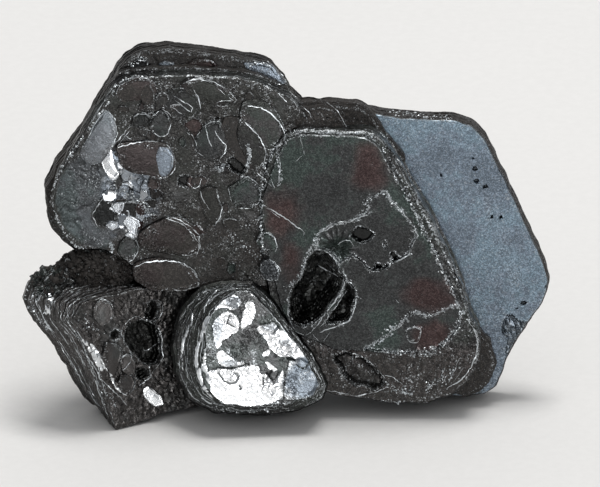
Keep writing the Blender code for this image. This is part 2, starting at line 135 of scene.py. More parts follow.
# Reddish patches painted on the front face as a reflection of the room: the middles of its
# patches, and their reaches across and up in mm
FRONT_REDS = seen("368,167 283,213 425,294 292,257 431,335")
RED_REACHES = ((2.5, 3.1), (2.7, 3.2), (3.5, 2.6), (1.5, 2.6), (2.5, 1.8))
HOLLOW = seen("""
    332,355 344.5,353 357.5,356 369,362.5 379,371.5 384.5,380 381.5,387 373,388 363,384 354,385 346,379
    341,369 336,362
""")
LARGE_PIT = seen("""
    324,250.5 331,255.5 336,261.5 339,270 345.5,278 341,288 337,295.5 329,304.5 323,314.5 313.5,323
    303.5,326 294.5,323 289,312.5 289,300.5 293.5,288 300.5,277 305.5,264.5 309.5,255.5 315.5,250.5
""")
SIDE_PIT = seen("""
    346.5,282 351.5,283 355.5,290 355.5,297.5 352.5,305.5 351.5,314.5 345.5,321 337,323 325,323
    335,305.5 341,296.5
""")

# The left-hand crystal: three thick layers, each set back from the one behind it
LEFT_BACK = seen("""
    50,190 60,168 85,135 112,90 128,66 142,56 170,54 205,57 240,62 265,68 280,78 291,95 305,112
    310,160 300,230 240,290 150,290 95,262 66,240 56,228 50,210
""")
LEFT_MIDDLE = seen("""
    56,190 63,169 78,145 98,112 112,88 124,76 150,72 190,71 238,74 264,80 284,90 300,104 310,120
    312,160 298,230 240,288 150,280 95,252 66,238 58,226 54,207
""")
LEFT_FRONT = seen("""
    59,190 66,170 80,146 100,114 115,91 127,82 155,79 190,78 235,80 262,86 282,95 300,109 311,126
    312,160 300,220 270,285 200,287 140,268 110,250 80,248 68,238 60,225 57,205
""")
LEFT_PITS = [
    (seen("228,160 236,158 243,163 247,171 241,176 233,171 228,166"), 0.6),
    (seen("211,153.5 216.5,151 220,156 216.5,160.5 211,158.5"), 0.5),
    (seen("120,192.5 126,184.5 135,186.5 133,194 125.5,197.5"), 0.35),
    (seen("179,178.5 188,175 194,182 188,188 180,185.5"), 0.3),
]

# Growth scales of the left-hand crystal: outline, how proud it stands, its lean and yaw in degrees
# against the face, and its finish marks
LEFT_SCALES = {
    "outer_arc": (seen("243,103 255,101 268,105 277,113 283,124 286,136 282,146 274,151 262,150 252,142 "
                       "244,130 240,118"), 0.3, 2, 4, {"red": 0.2}),
    "inner_arc": (seen("240,119 248,124 256,132 262,141 266,151 267,163 264,172 256,170 247,160 241,148 "
                       "237,135"), 0.45, -2, 5, {"dull": 0.35}),
    "brown_arc": (seen("226,118 236,118 248,125 258,135 264,148 266,162 258,172 247,168 238,160 228,150 "
                       "223,137 221,127"), 0.32, -3, 1, {"dull": 0.7}),
    "crown": (seen("117,97 120,89 128,83 140,79 152,80 158,87 159,95 151,100 140,102 126,104"),
              0.19, 1, 3, {"red": 0.5, "dull": 0.35}),
    "ribbed": (seen("163,100 167,94 175,90 186,90 197,95 204,106 199,118 187,124 175,122 166,113"),
               0.3, 4, -4, {"dull": 0.3}),
    "wing": (seen("182,86 192,81 205,80 216,83 228,91 238,101 241,106 228,105 212,106 198,101 188,94"),
             0.22, -2, 3, {"red": 0.3}),
    "ring": (seen("132.5,127 137,116.5 144.5,114.5 151.5,116.5 153,121.5 148.5,127 142,129 136,126"),
             0.3, 3, -4, {"pit": 0.35}),
    "green": (seen("151,124.5 154,117 161,111 168,114 173,124 171,134 164,138.5 156,136 151,130"),
              0.4, 0, 3, {}),
    "broad": (seen("118,150 120,146 130,143 142,142 155,142 166,143 173,148 177,157 178,166 174,175 "
                   "166,180 158,179 150,176 140,175 130,172 122,165"), 0.32, 1, 4, {"red": 0.5}),
    "broad_blue": (seen("156,160 160,148 170,149 175,158 174,168 168,177 160,177 156,170"),
                   0.38, -2, -6, {"blue": 0.9}),
    "crescent": (seen("103,160 107,152 113,149 114,158 118,168 121,175 117,181 111,179 106,170"),
                 0.27, 2, -4, {"fresh": 0.9, "blue": 0.6}),
    "grey_facet": (seen("81,153 90,139 97,125 108,111 115,116 118,131 117,145 110,155 102,164 92,166 "
                        "84,160"), 0.17, 2, -3, {"blue": 0.24, "fresh": 0.055}),
    "red_small": (seen("185,125 191,117.5 200.5,121 203,128 199,134 190,133"), 0.32, -1, 4, {"red": 0.8}),
    "green_ridge": (seen("195,140 203,128 212,122 221,121 224,130 226,142 228,152 222,160 208,162 "
                         "198,154"), 0.47, 3, -3, {}),
    "low_middle": (seen("229,188 235,185 247.5,176.5 258,183.5 262,194 260,203 251.5,208 243.5,207 "
                        "236,205.5 231,196"), 0.3, 1, 3, {}),
    "hooked": (seen("201,191 210,187 218,189 217,196 221,204 224,212 221,220 214,226 206,218 203,206 "
                    "200,198"), 0.32, -2, -4, {"dull": 0.4}),
    "red_oval": (seen("139,236 150,226 166,219 181,217 193,226 200,240 200,252 190,256 170,254 152,252 "
                      "141,246"), 0.32, -2, 5, {"red": 0.5}),
    "low_oval": (seen("134,266 145,261 160,259 176,261 190,267 198,277 201,286 188,290 168,290 150,288 "
                      "136,280"), 0.37, -1, 3, {"red": 0.5, "dull": 0.35}),
    "round_low": (seen("119,252 122,242 128,236.5 136,238 139.5,245 139.5,253 134,258 126,260"),
                  0.32, 2, 6, {}),
    "left_hex": (seen("94,214 104,199 114,204 119,211 118,221 110,226 101,226"), 0.17, -2, -4, {}),
    "blue_chip_a": (seen("124.5,222.5 128,216.5 134,216.5 141,221.5 138,229.5 137,236.5 132,233.5"),
                    0.39, 1, -3, {"blue": 1.0, "fresh": 0.4}),
    "blue_chip_b": (seen("109.5,209 118,203 126,203 124,211 119,213"), 0.32, 2, -5,
                    {"blue": 1.0, "fresh": 0.4}),
    "blue_chip_c": (seen("107.5,225.5 111.5,221.5 119,222.5 119,227.5 113.5,230.5"), 0.3, 0, -2,
                    {"blue": 0.9, "fresh": 0.3}),
}
FRONT_SCALES = {
    "small_circle": (seen("256.5,242 262,233.5 270,232.5 276,239 278,248 272,251 262,250"), 0.12, 0, 2, {}),
    "grey_oval": (seen("260,270.5 262,262 270,258 277,264.5 280,272.5 277,280.5 268,281.5"),
                  0.14, 2, -3, {"blue": 0.14, "sand": 0.4}),
}
LEDGE_SCALES = {
    "ledge_blue": (seen("243,64 258,64 272,68 282,80 285,86 275,82 262,77 247,72"),
                   0.27, 0, -7, {"blue": 1.0}),
    "ledge_grey": (seen("159.5,65.5 165.5,63.5 175,65.5 173,71.5 163.5,75"), 0.27, 2, -6, {"blue": 0.6}),
    "ledge_long": (seen("189.5,66.5 200,61.5 214,63 219,69 207,72.5 193,72"),
                   0.24, -4, 5, {"dull": 0.3, "red": 0.9}),
    "ledge_left": (seen("129,70 139,62 149.5,63 148.5,71 137.5,74.5"), 0.27, 8, -8, {"dull": 0.3}),
}
LEFT_FIELD = seen("""
    82.5,153.5 67,169 56.5,187.5 54,199.5 61,219.5 74,238.5 93,247 108,250 118.5,235 99,224.5 93,215
    104.5,196 111.5,182 104.5,165.5
""")
GLITTER_ZONE = seen("100,196 115,150 144.5,148 161.5,183 154,230.5 119,250")

# The lobed crystal low in front, and the turned one at the lower left, both stepped like terraces:
# the outline of the lowest step and that of the face, point for point
LOBED_BASE = seen("""
    174,345 177,325 187,305 203,290 228,283 253,284 272,300 292,330 312,355 326,384 322,397 297,410
    255,414 215,411 190,397 177,372
""")
LOBED_FACE = seen("""
    206,346 207,327 214,311 223,299 237,292 252,292 264,305 286,332 304,352 319,384 312,395 288,402
    251,405 222,402 207,386 202,366
""")
# Its mirror-bright patches, fresh faces painted near-white as a painted reflection: outline, how
# fresh and how blue each is
FRESH_AND_SHEEN_PATCHES = [
    (seen("207.5,371 219.5,368 233.5,367.5 245.5,365 252.5,363.5 259.5,366 261,373 267.5,374 273,381 "
          "279.5,372.5 283.5,367 285.5,375 284,385 283,395.5 275,400.5 264,404 245,406.5 233.5,406 "
          "224.5,401.5 216.5,396 211,390 209,380.5"), 1.0, 0.0),
    (seen("212,325.5 215,318.5 222,311.5 229,310.5 234.5,312.5 239,317.5 241,325.5 239,330 227.5,337 "
          "222.5,339.5 222.5,344 217.5,349 215,344 214.5,334.5"), 0.95, 0.1),
    (seen("207,313 209.5,305 215,298 224.5,292 231,291 239,294.5 242.5,301.5 240.5,307 234.5,309.5 "
          "222,307 215,309.5"), 0.85, 0.4),
    (seen("242.5,317.5 244.5,310.5 245.5,303.5 249,301 254,302 257,307 255.5,315 252,323 247,327 "
          "242,328 240.5,321"), 1.0, 0.1),
    (seen("244,289 250.5,288 258.5,288 263.5,291 265,297 258.5,297.5 252,295.5"), 0.8, 0.6),
    (seen("257,328 261,324.5 267,323 272,320.5 277,324 280.5,329 286.5,329 292,337 298,340.5 304.5,348.5 "
          "310.5,357.5 309,362 302.5,368 296.5,363.5 294.5,357.5 287.5,355.5 279.5,355.5 275,351 "
          "270,348.5 267,341.5 263.5,334.5 258.5,332.5"), 0.95, 0.25),
    (seen("285.5,375 289.5,360 294.5,360.5 298,367 302.5,368.5 310.5,362 316,371.5 320.5,377 323,385 "
          "318.5,391 309,395.5 298,398 286.5,398.5 283.5,394.5"), 0.6, 0.8),
    (seen("217,351 222,348.5 229,354 236,360 245,362 240.5,365.5 229,367 222,365.5 217.5,360"), 0.8, 0.2),
    (seen("264.5,360.5 268.5,360.5 275,365.5 278,368 273.5,370.5 268,365.5"), 0.9, 0),
    (seen("262,354 267,348.5 272,349.5 268,355.5 263.5,356.5"), 0.8, 0.2),
]
CURLED_CRACKS = [seen(line) for line in (
    "234.5,372 238,373 239,376.5 235.5,381.5 230.5,382.5 225,380 221.5,375.5 219,371.5",
    "240,384.5 241.5,387 240.5,388.5", "263.5,376.5 263.5,383.5", "278,326 273.5,332.5",
    "287.5,357.5 295.5,359 300.5,357.5 308.5,362", "321.5,376.5 317,381 313.5,389.5 308.5,393",
    "267,372 273.5,381", "272,369.5 266,379", "279,372 273.5,383.5",
    "217.5,367 227,367 236.5,366 248.5,363.5", "230.5,314 227.5,322 234.5,326",
)]
# Where the mirror patches turn grey-blue and their painted reflection fades: their middles, then
# reach across and up and how much
BLUE_SHADES = seen("217.5,329.5 233,301 268,325 300,377 309,379 286,342 232,362")
SHADE_REACHES = (
    (0.8, 2.2, 0.7), (1.0, 0.8, 0.75), (1.3, 0.6, 0.7), (2.2, 2.9, 0.97), (2.6, 3.2, 0.97), (0.8, 0.6, 0.6),
    (1.0, 0.5, 0.6),
)

TURNED_BASE = seen("""
    53,335.5 38.5,319 29,300 36,283 63,277.5 110,283 180,279.5 210,300 212,373 190,388 165,389 140,391
    96.5,404.5 83.5,389 69.5,362.5
""")
TURNED_FACE = seen("""
    88,336 75,318 83.5,303.5 105,296.5 140,289 175,284.5 203,300 208,350 206,404 190,408 165,412 141,421
    116.5,429 109.5,400 98.5,360
""")
TURNED_PITS = [
    (seen("151.5,299 159,302 161.5,309 159,317.5 153.5,321.5 147.5,318.5 145,313.5 148.5,305.5"), 0.9),
    (seen("142.5,319.5 151,321 158,325.5 160.5,335 161.5,344.5 163,354 159,362 153.5,365 145,363.5 "
          "138,356 132,350.5 127,343 125,335 129.5,325.5 135.5,321"), 1.3),
    (seen("112,331.5 118,328.5 122.5,331.5 121.5,337.5 115.5,341.5 111.5,337.5"), 0.5),
    (seen("136,369 142.5,366 151,369 151,376.5 144,380 137,378.5"), 0.7),
]
TURNED_SCALES = {
    "turned_cream": (seen("144,389 148.5,385.5 155.5,390.5 161.5,396.5 164.5,404 155.5,406 150,402 "
                          "145,396.5"), 0.35, 4, -8, {"fresh": 0.9}),
    "turned_top": (seen("95.5,316 96.5,305.5 102.5,299.5 111,300.5 114.5,306.5 115.5,316 109.5,323 "
                        "102.5,325.5"), 0.4, 4, -6, {}),
    "turned_mid": (seen("108,342 118,343 124,349 122.5,356 120.5,363.5 114.5,377.5 109.5,368 105,356"),
                   0.35, -2, 4, {}),
    "turned_low": (seen("120.5,381 122.5,375 133.5,374 136,381 133.5,389 128.5,391.5 122.5,389"),
                   0.35, 3, 4, {}),
    "turned_inner": (seen("121.5,356 127.5,352.5 133.5,355 137,362 135.5,372.5 129.5,374 124,370.5"),
                     0.25, 5, -4, {"dull": 0.3}),
}

# The hidden side, in mm: crystals that face the other way, the largest reaching down as a back foot
BACK_FOOT = [
    (-21, 20.5), (-17.5, 29), (-8, 31), (-1, 27.5), (1.2, 18), (-1.6, 8.6),
    (-7, 4.7), (-13, 4.9), (-18.2, 10.2),
]
BACK_RIGHT = [
    (2, 9.5), (3, 22.5), (9, 28.5), (17, 27), (21.5, 19.5), (20, 11), (12, 6.4),
]
BACK_SMALL = [
    (-9, 24), (-8, 33.5), (-2.5, 36.5), (4, 34), (6, 27), (1.5, 21.5), (-5, 20.5),
]

# The left crystal's face: where its plane stands, how far its back layer lies behind it, and the area
# in mm where the small scales are scattered
LEFT_PLANE = (-12, 28, 4.2, 9, 4)
LEFT_BACK_DEPTH = 3.4
SCATTER_GROUND = [
    (-20.3, 25.5), (-20.0, 33.5), (-18.0, 37.5), (-6.0, 37.6), (-0.5, 35.0), (1.2, 32.5), (-3.4, 27.0),
    (-2.8, 17.0), (-9.0, 15.2), (-17.0, 17.0),
]

# Raised hair lines along the rims of thin layers, painted bright as glints, as they are seen, by
# their width in mm. A bar stands between two lines
HAIR_LINES = {
    0.07: """
        165,150 177.5,160.5 | 204.5,82 220.5,78 240.5,78 | 260.5,204 280,218 | 298,132.5 301,141
        304.5,155.5 |
        326.5,263 338,273.5 | 441.5,383.5 447.5,372 | 447.5,382.5 456,366.5 | 453.5,380.5 463,366.5 |
        424.5,390.5 432,383.5 437,383.5 | 444.5,366.5 440,378 | 459,357.5 454.5,366.5 | 395,299 398.5,303
    """,
    0.08: """
        173,108.5 188,118 | 194,91.5 199.5,98 202,111.5 | 276.5,144.5 278.5,155 280.5,166.5 278.5,182 |
        179.5,166 187,182 195.5,189.5 201,185.5 202,178.5 | 200.5,190.5 204.5,202 210.5,209.5 |
        165.5,218 183,224 194,234 198,241.5 | 114,165.5 118.5,155 117,149.5 | 263.5,68.5 259.5,75.5 |
        272,67 266,77 | 251,65.5 249,73 | 295,162.5 302.5,156.5 | 362.5,243 374,236 |
        405.5,333.5 408,328 414.5,327 420.5,329 420,336 417,342 408.5,342 405.5,333.5 |
        384,374.5 393,376.5 400,382 406,388
    """,
    0.09: """
        174.5,97 194,108.5 192,114 | 176.5,102 192,113.5 | 217,106.5 222.5,108.5 229,105.5 |
        257,173 262.5,163 270.5,178 275,189 | 257,173 274.5,189 | 118.5,148 131,132 | 126,136.5 133,141 |
        228.5,187 232,202 238,208.5 250.5,209 259.5,202.5 | 326.5,389.5 341,392.5 355.5,395.5 373,392.5
        387,386.5 |
        293.5,103.5 302.5,108 310,114 312.5,122.5 | 142.5,346.5 145,350.5 152,347 157.5,343 |
        120.5,358 127,353.5 133,354 131.5,361.5 127,367 122,371 122,374.5 | 97.5,299.5 105,298 112.5,304.5
    """,
    0.10: """
        216,83.5 229.5,92.5 238.5,102 | 218.5,89.5 234,102 | 183,85.5 190,82 199,80.5 216,83.5 |
        217,105 222.5,102 233,102 | 248,176.5 266,190 | 173,126.5 193.5,136.5 198,144.5 197,152
        206,158.5 |
        116,146 124.5,135.5 133,124.5 | 115,165.5 124,171 131.5,178.5 133,182 | 109,111.5 116.5,119.5
        119,134 115,146.5 |
        278,94 287.5,103.5 | 256.5,243 259,235.5 267,232.5 274.5,237 277.5,245 275.5,252 |
        261,260.5 260.5,269.5 263,277 270.5,280.5 | 274,260.5 278.5,266 281.5,271.5 |
        337,245 343,241 349.5,240 354.5,247 | 348.5,287.5 341.5,297.5 335.5,306.5 327,318 320,326.5 |
        288.5,302 288,312 291,323.5 296.5,332 305,335 311,332 | 344,350.5 355.5,353.5 364.5,357.5
        373,365 385,378 |
        312.5,333.5 318,340.5 322.5,346.5 | 323.5,340.5 330,332 | 326.5,103.5 337,111 341.5,119.5
        347,129.5 |
        124.5,325 122,333.5 126,341 129.5,348 132,353 138,356.5 140,361.5 | 151.5,373.5 149,368.5
        151.5,364
    """,
    0.12: """
        243.5,121 248,126.5 257.5,135.5 263.5,144.5 266.5,154 264,165 | 206,123 207,132 209,140.5
        212.5,147.5 |
        216,132 220.5,139.5 227,146.5 225.5,153.5 220.5,160.5 | 163,110.5 172,115.5 173,124 169,135
        162,138 155,134 |
        134,119.5 140,115 147,115.5 153.5,118 | 117,149 133,144.5 147,141.5 161.5,142.5 |
        169,141 175,150 178.5,160.5 175.5,171.5 167,179.5 | 105,198 93.5,215 99.5,227 |
        154.5,219.5 165,215.5 179.5,219.5 192,227 199.5,235.5 201,246.5 197,255.5 |
        127.5,235.5 137,239.5 140,248 135.5,259 127.5,262.5 | 273,64.5 279.5,71 285.5,81 285,86 278,85 |
        259,202.5 281,215.5 304.5,232 303.5,235.5 | 385,191.5 388.5,198.5 397,207 404.5,216 410.5,223 |
        325.5,251 332.5,257 336,263 339,272 344.5,276 | 318,264.5 329.5,271.5 341.5,279 |
        147.5,303.5 152,298 159.5,299.5 164,305.5 163,313 156,322.5 |
        125.5,325 130.5,319 137.5,315.5 147.5,319.5 155,323.5 159.5,328.5 163,337 162,347 164,355.5
        159.5,365 153.5,371 |
        153.5,371 149,378.5 140,384.5 | 136.5,378 135.5,385.5 132,391.5 128,394.5 122,390.5 115,381 |
        93,347 100,356.5 105.5,366
    """,
    0.14: """
        247,107 260,108.5 270.5,114 279.5,123 285,134.5 285.5,145 | 217,188.5 218.5,198 223,207
        220.5,218 214.5,226 |
        133,268 147,262 168.5,260.5 183,262.5 194,269.5 200,280.5 |
        318,233 326.5,230 332.5,225.5 341.5,221.5 349.5,222.5 355.5,218.5 368.5,214.5 |
        415.5,237 411.5,245.5 407,254.5 400,259.5 391.5,261.5 388.5,266 382.5,269.5 374,270 |
        341,276 350,284.5 356,292 355.5,302 353,312 348.5,320.5 339.5,325 330,328 319.5,332 |
        344,281.5 341,290 333,303 324,315 315.5,326.5 310.5,332 |
        467.5,320.5 475,332 477,343.5 475,355 470.5,366.5 460.5,379.5 446,388 |
        45.5,281.5 49.5,276.5 54.5,273 | 47,293.5 49,301 47,309.5 44.5,314 |
        220,291.5 214,298.5 209.5,304.5 | 207,320 202.5,335.5 200,346 | 102.5,378.5 112.5,388 122,397.5
        128,405 |
        82.5,349 89,356.5 96.5,367
    """,
    0.20: """
        218,289 213,295 208.5,301 205,307 204.5,313 | 201.5,396.5 208.5,401.5 214.5,402.5 |
        85.5,351.5 93,361 99,372 102.5,381
    """,
    0.36: """
        193,310.5 193,318.5 188.5,331.5 184.5,340 182.5,350.5 182.5,362 184.5,370.5 |
        107,367 112.5,376.5 119,388.5 128,395
    """,
    0.48: """
        208.5,318.5 204.5,327 201,340 198,350.5 197.5,362 200,372 202.5,383.5 208.5,392 214,398 |
        91.5,342.5 96.5,349.5 102.5,359 107,368.5 | 206.5,352 204.5,362 206.5,372 211,383 | 84,338 90,345
    """,
    0.70: """
        90,346 95,354 100.5,362.5 104,370 | 50.5,293 53,300 51,309 48,315 | 210,315 206.5,323 204.5,332
    """,
}
# Bands of broken grains, painted bright as glints: width in mm, grains a mm, and the line as it is seen
GLITTER_LINES = [
    (0.25, 9, "111.5,102.5 99,119.5 83,140.5 70.5,158.5 59.5,176.5 54.5,190.5 53.5,201.5 59.5,219.5 "
              "68.5,235.5 77.5,247 92,249.5"),
    (0.50, 16, "125.5,75 132,66.5 141.5,60.5 151,60"),
    (0.30, 10, "114.5,98 116,88.5 125.5,82 136,78 144,80 153.5,79"),
    (0.40, 9, "248.5,66 259.5,64 271.5,65"),
    (0.30, 50, "248,146 250.5,155.5 247,167.5"),
    (0.35, 60, "216,167.5 221.5,171 225,164"),
    (0.70, 12, "111.5,183.5 124,190.5 140,201.5 154.5,215.5"),
    (0.80, 16, "125.5,190.5 140,201.5 154.5,214 140,219.5"),
    (0.30, 40, "112.5,242.5 113.5,251.5"),
    (0.70, 9, "233,237 247,248 259.5,260.5"),
    (0.35, 16, "277.5,146 265,165.5 261.5,190.5 260.5,208.5 261.5,232 263,253"),
    (0.30, 8, "286,133 312.5,132 335.5,134.5 355.5,133 364,136 374,141 381.5,148 387,156.5 393,166.5 "
              "401.5,181 408.5,195.5"),
    (0.40, 12, "408.5,195.5 414.5,212.5 427,237 434.5,251.5 440,267 448.5,284.5 453,296"),
    (0.25, 10, "415.5,201 427,224 440,247 456,281.5"),
    (0.50, 14, "364,200.5 368.5,206 361,218.5 355.5,220"),
    (0.30, 12, "372.5,197 380,194 385,191 388.5,198.5 404,215.5"),
    (0.30, 10, "286,134.5 285.5,141 279.5,148.5 277,157 279.5,167 281.5,177 278,187"),
    (0.35, 13, "318,233 312.5,245.5 305,257 302.5,270.5 293.5,283 283.5,289"),
    (0.45, 13, "456,305.5 446,307.5 436,313 424.5,315.5 417,311.5 410,314.5 403,320.5 "
              "395.5,324.5 382.5,332.5"),
    (0.25, 9, "391.5,333 380,340.5 367,347.5"),
    (0.45, 12, "380,350.5 391.5,352 407,353.5 424.5,355 434.5,350.5 444.5,340.5 453,327.5 "
              "460,317.5 460,309"),
    (0.30, 8, "453,297.5 461.5,309 467.5,320.5"),
    (1.10, 14, "426,389 440,380.5 456,367.5"),
    (0.50, 9, "385.5,380.5 391.5,388 410,392"),
    (0.40, 7, "380,400.5 398.5,402 417,405 434.5,403.5 448.5,399.5 463,395"),
    (0.30, 10, "460,402 470,399.5 479,396.5"),
    (0.35, 8, "214,405 225.5,409.5 241,410.5 257,409.5 269,407.5 284.5,403 300.5,398.5 312.5,394.5"),
    (0.80, 9, "88,317.5 93,327 102.5,332"),
    (0.80, 9, "28.5,285 30,299.5 36,314 51.5,329.5"),
    (0.60, 7, "93,372 107.5,390.5 117,405"),
    (0.45, 11, "392,113 410,115 428,117.5 445,119 460,122"),
    (0.30, 8, "464,126 476,136 486,150 495,168 504,187 512,203"),
    (0.20, 6, "520,219 530,240 540,259 545,276"),
    (0.50, 12, "398,393 405,391 412,394"),
]

# Rough ground: middle (u, v, out) and reach of the body that carries it, in mm
CORE = ((-3.5, 18.0, -1.6), (21.0, 4.2, 13.5))
POCKET = ((-22.0, 16.5, 3.2), (4.6, 2.9, 3.0))
CRUMBLED_CORNER = ((-27.1, 15.0, 5.0), (2.5, 1.9, 2.0))


def lattice(ix, iy, seed):
    """One repeatable number from 0 to 1 for each whole-number place: its coordinates and the seed are
    multiplied by large odd numbers, and the bits folded together."""
    mask = np.uint64(0xFFFFFFFF)
    h = (ix.astype(np.int64) * 374761393 + iy.astype(np.int64) * 668265263 + seed * 2246822519)
    h = h.astype(np.uint64) & mask
    h = ((h ^ (h >> np.uint64(13))) * np.uint64(1274126177)) & mask
    h = ((h ^ (h >> np.uint64(15))) * np.uint64(2654435761)) & mask
    return (h ^ (h >> np.uint64(16))).astype(float) / 2**32


def noise(x, y, seed):
    """Smooth noise from -1 to 1: the lattice numbers at the four corners around a point, eased between
    with 3f^2 - 2f^3."""
    ix, iy = np.floor(x), np.floor(y)
    fx, fy = x - ix, y - iy
    fx, fy = fx * fx * (3 - 2 * fx), fy * fy * (3 - 2 * fy)
    low = lattice(ix, iy, seed) * (1 - fx) + lattice(ix + 1, iy, seed) * fx
    high = lattice(ix, iy + 1, seed) * (1 - fx) + lattice(ix + 1, iy + 1, seed) * fx
    return 2 * (low * (1 - fy) + high * fy) - 1


def fractal(x, y, seed, octaves=4):
    """Noise added to itself at twice the fineness and half the height, this many times."""
    total = np.zeros(np.shape(x))
    for octave in range(octaves):
        total += noise(x * 2**octave + 17 * octave, y * 2**octave - 9 * octave, seed + octave) / 2**octave
    return total / 2


def facets(x, y, seed):
    """Crystal facets: the plane is split among random seeds, one a unit cell. Each point takes the
    height of its nearest seed, tilted by that seed's own slope. Also how near it lies to a border."""
    ix, iy = np.floor(x), np.floor(y)
    nearest = np.full(np.shape(x), 9.0)
    second = np.full(np.shape(x), 9.0)
    height = np.zeros(np.shape(x))
    for dx in (-1, 0, 1):
        for dy in (-1, 0, 1):
            cx, cy = ix + dx, iy + dy
            ox = x - cx - lattice(cx, cy, seed)
            oy = y - cy - lattice(cx, cy, seed + 1)
            gap = np.hypot(ox, oy)
            level = lattice(cx, cy, seed + 2) - 0.5
            slope_x, slope_y = lattice(cx, cy, seed + 3) - 0.5, lattice(cx, cy, seed + 4) - 0.5
            closer = gap < nearest
            second = np.where(closer, nearest, np.minimum(second, gap))
            height = np.where(closer, level + 1.6 * (ox * slope_x + oy * slope_y), height)
            nearest = np.where(closer, gap, nearest)
    return height, np.exp(-((second - nearest) / 0.12) ** 2)


def ease(low, high, value):
    """0 up to low, 1 from high on, eased between."""
    share = np.clip((value - low) / (high - low), 0, 1)
    return share * share * (3 - 2 * share)


class Plane:
    """A crystal face's own plane in mm: its origin, and a turn whose columns run across, up and out."""

    def __init__(self, origin, turn):
        self.origin, self.turn = origin, turn

    def seen_axes(self):
        """The seen place of the origin, and how seen u and v grow with the plane's x and y."""
        axes = np.array([ACROSS, UP_SEEN])
        return axes @ (self.origin + MIDDLE), axes @ self.turn[:, :2]

    def on(self, points):
        """Seen points carried onto the plane: (x, y) = inverse(growth) (seen - origin)."""
        start, growth = self.seen_axes()
        return (np.asarray(points, float) - start) @ np.linalg.inv(growth).T

    def place(self, x, y, z):
        """Points of the plane in metres: origin + x across + y up + z out. One that would be under the
        table slides up the plane until it lies on it."""
        points = self.origin + np.stack(np.broadcast_arrays(x, y, z), -1) @ self.turn.T
        up = self.turn[:, 1]
        return (points - up * np.minimum(points[..., 2:], 0) / up[2]) * MM

    def behind(self, depth):
        return Plane(self.origin - depth * self.turn[:, 2], self.turn)

    def tilted(self, point, proud, lean, yaw):
        """The plane moved to a seen point, raised by proud, then leant back and turned, in degrees."""
        (x, y), a, b = self.on([point])[0], math.radians(-lean), math.radians(yaw)
        about_x = np.array(((1, 0, 0), (0, math.cos(a), -math.sin(a)), (0, math.sin(a), math.cos(a))))
        about_y = np.array(((math.cos(b), 0, math.sin(b)), (0, 1, 0), (-math.sin(b), 0, math.cos(b))))
        return Plane(self.origin + self.turn @ (x, y, proud), self.turn @ about_x @ about_y)

    def loop(self, points, count, soften=0.25, rough=0.1, grain=0.9, seed=1):
        return rounded(self.on(points), count, soften, rough, grain, seed)


def growth_point(u, v, out):
    """The point in mm seen at (u, v) that stands this far in front of the shared growth plane."""
    tilt = VIEW_ELEVATION - GROWTH_LEAN
    up = (v + out * math.sin(tilt)) / math.cos(tilt)
    return ACROSS * u + UP_FACE * up + OUT_OF_FACE * out - MIDDLE


def facing(u, v, out, lean, yaw):
    """The plane of a crystal face whose normal leans up by lean and turns right by yaw, in degrees."""
    lean, yaw = math.radians(lean), math.radians(yaw)
    normal = np.array((math.sin(yaw) * math.cos(lean), -math.cos(yaw) * math.cos(lean), math.sin(lean)))
    across = np.array((math.cos(yaw), math.sin(yaw), 0))
    return Plane(growth_point(u, v, out), np.stack([across, np.cross(normal, across), normal], 1))


def blurred(loop, reach):
    """A closed outline softened over this many mm: its Fourier waves, each weakened by a Gauss curve."""
    steps = np.linalg.norm(np.roll(loop, -1, 0) - loop, axis=1)
    wave = np.fft.fftfreq(len(loop), steps.mean())
    soft = np.fft.ifft(np.fft.fft(loop[:, 0] + 1j * loop[:, 1]) * np.exp(-2 * (math.pi * wave * reach) ** 2))
    return np.stack([soft.real, soft.imag], 1)


def outward(loop, reach=0.5):
    """The unit vectors square to a softened copy of the outline, pointing out of it."""
    soft = blurred(loop, reach)
    along = np.roll(soft, -1, 0) - np.roll(soft, 1, 0)
    along /= np.linalg.norm(along, axis=1)[:, None] + 1e-9
    return np.stack([along[:, 1], -along[:, 0]], 1)


def run_along(line):
    """How far along a line each of its points lies."""
    return np.concatenate([[0], np.cumsum(np.linalg.norm(np.diff(line, axis=0), axis=1))])


def points_at(at, run, line):
    """The places on a line where its run reaches these values."""
    return np.stack([np.interp(at, run, line[:, 0]), np.interp(at, run, line[:, 1])], 1)


def rounded(points, count, soften, rough, grain, seed):
    """Even steps along the closed outline through these points, counter-clockwise, with softened
    corners, pushed in and out along its normals by rough times fractal noise."""
    x, y = points[:, 0], points[:, 1]
    if np.sum(x * np.roll(y, -1) - y * np.roll(x, -1)) < 0:
        points = points[::-1]
    closed = np.vstack([points, points[:1]])
    run = run_along(closed)
    at = np.linspace(0, run[-1], count, endpoint=False)
    loop = blurred(points_at(at, run, closed), soften)
    push = rough * fractal(loop[:, 0] / grain, loop[:, 1] / grain, seed, 3)
    return loop + outward(loop) * push[:, None]


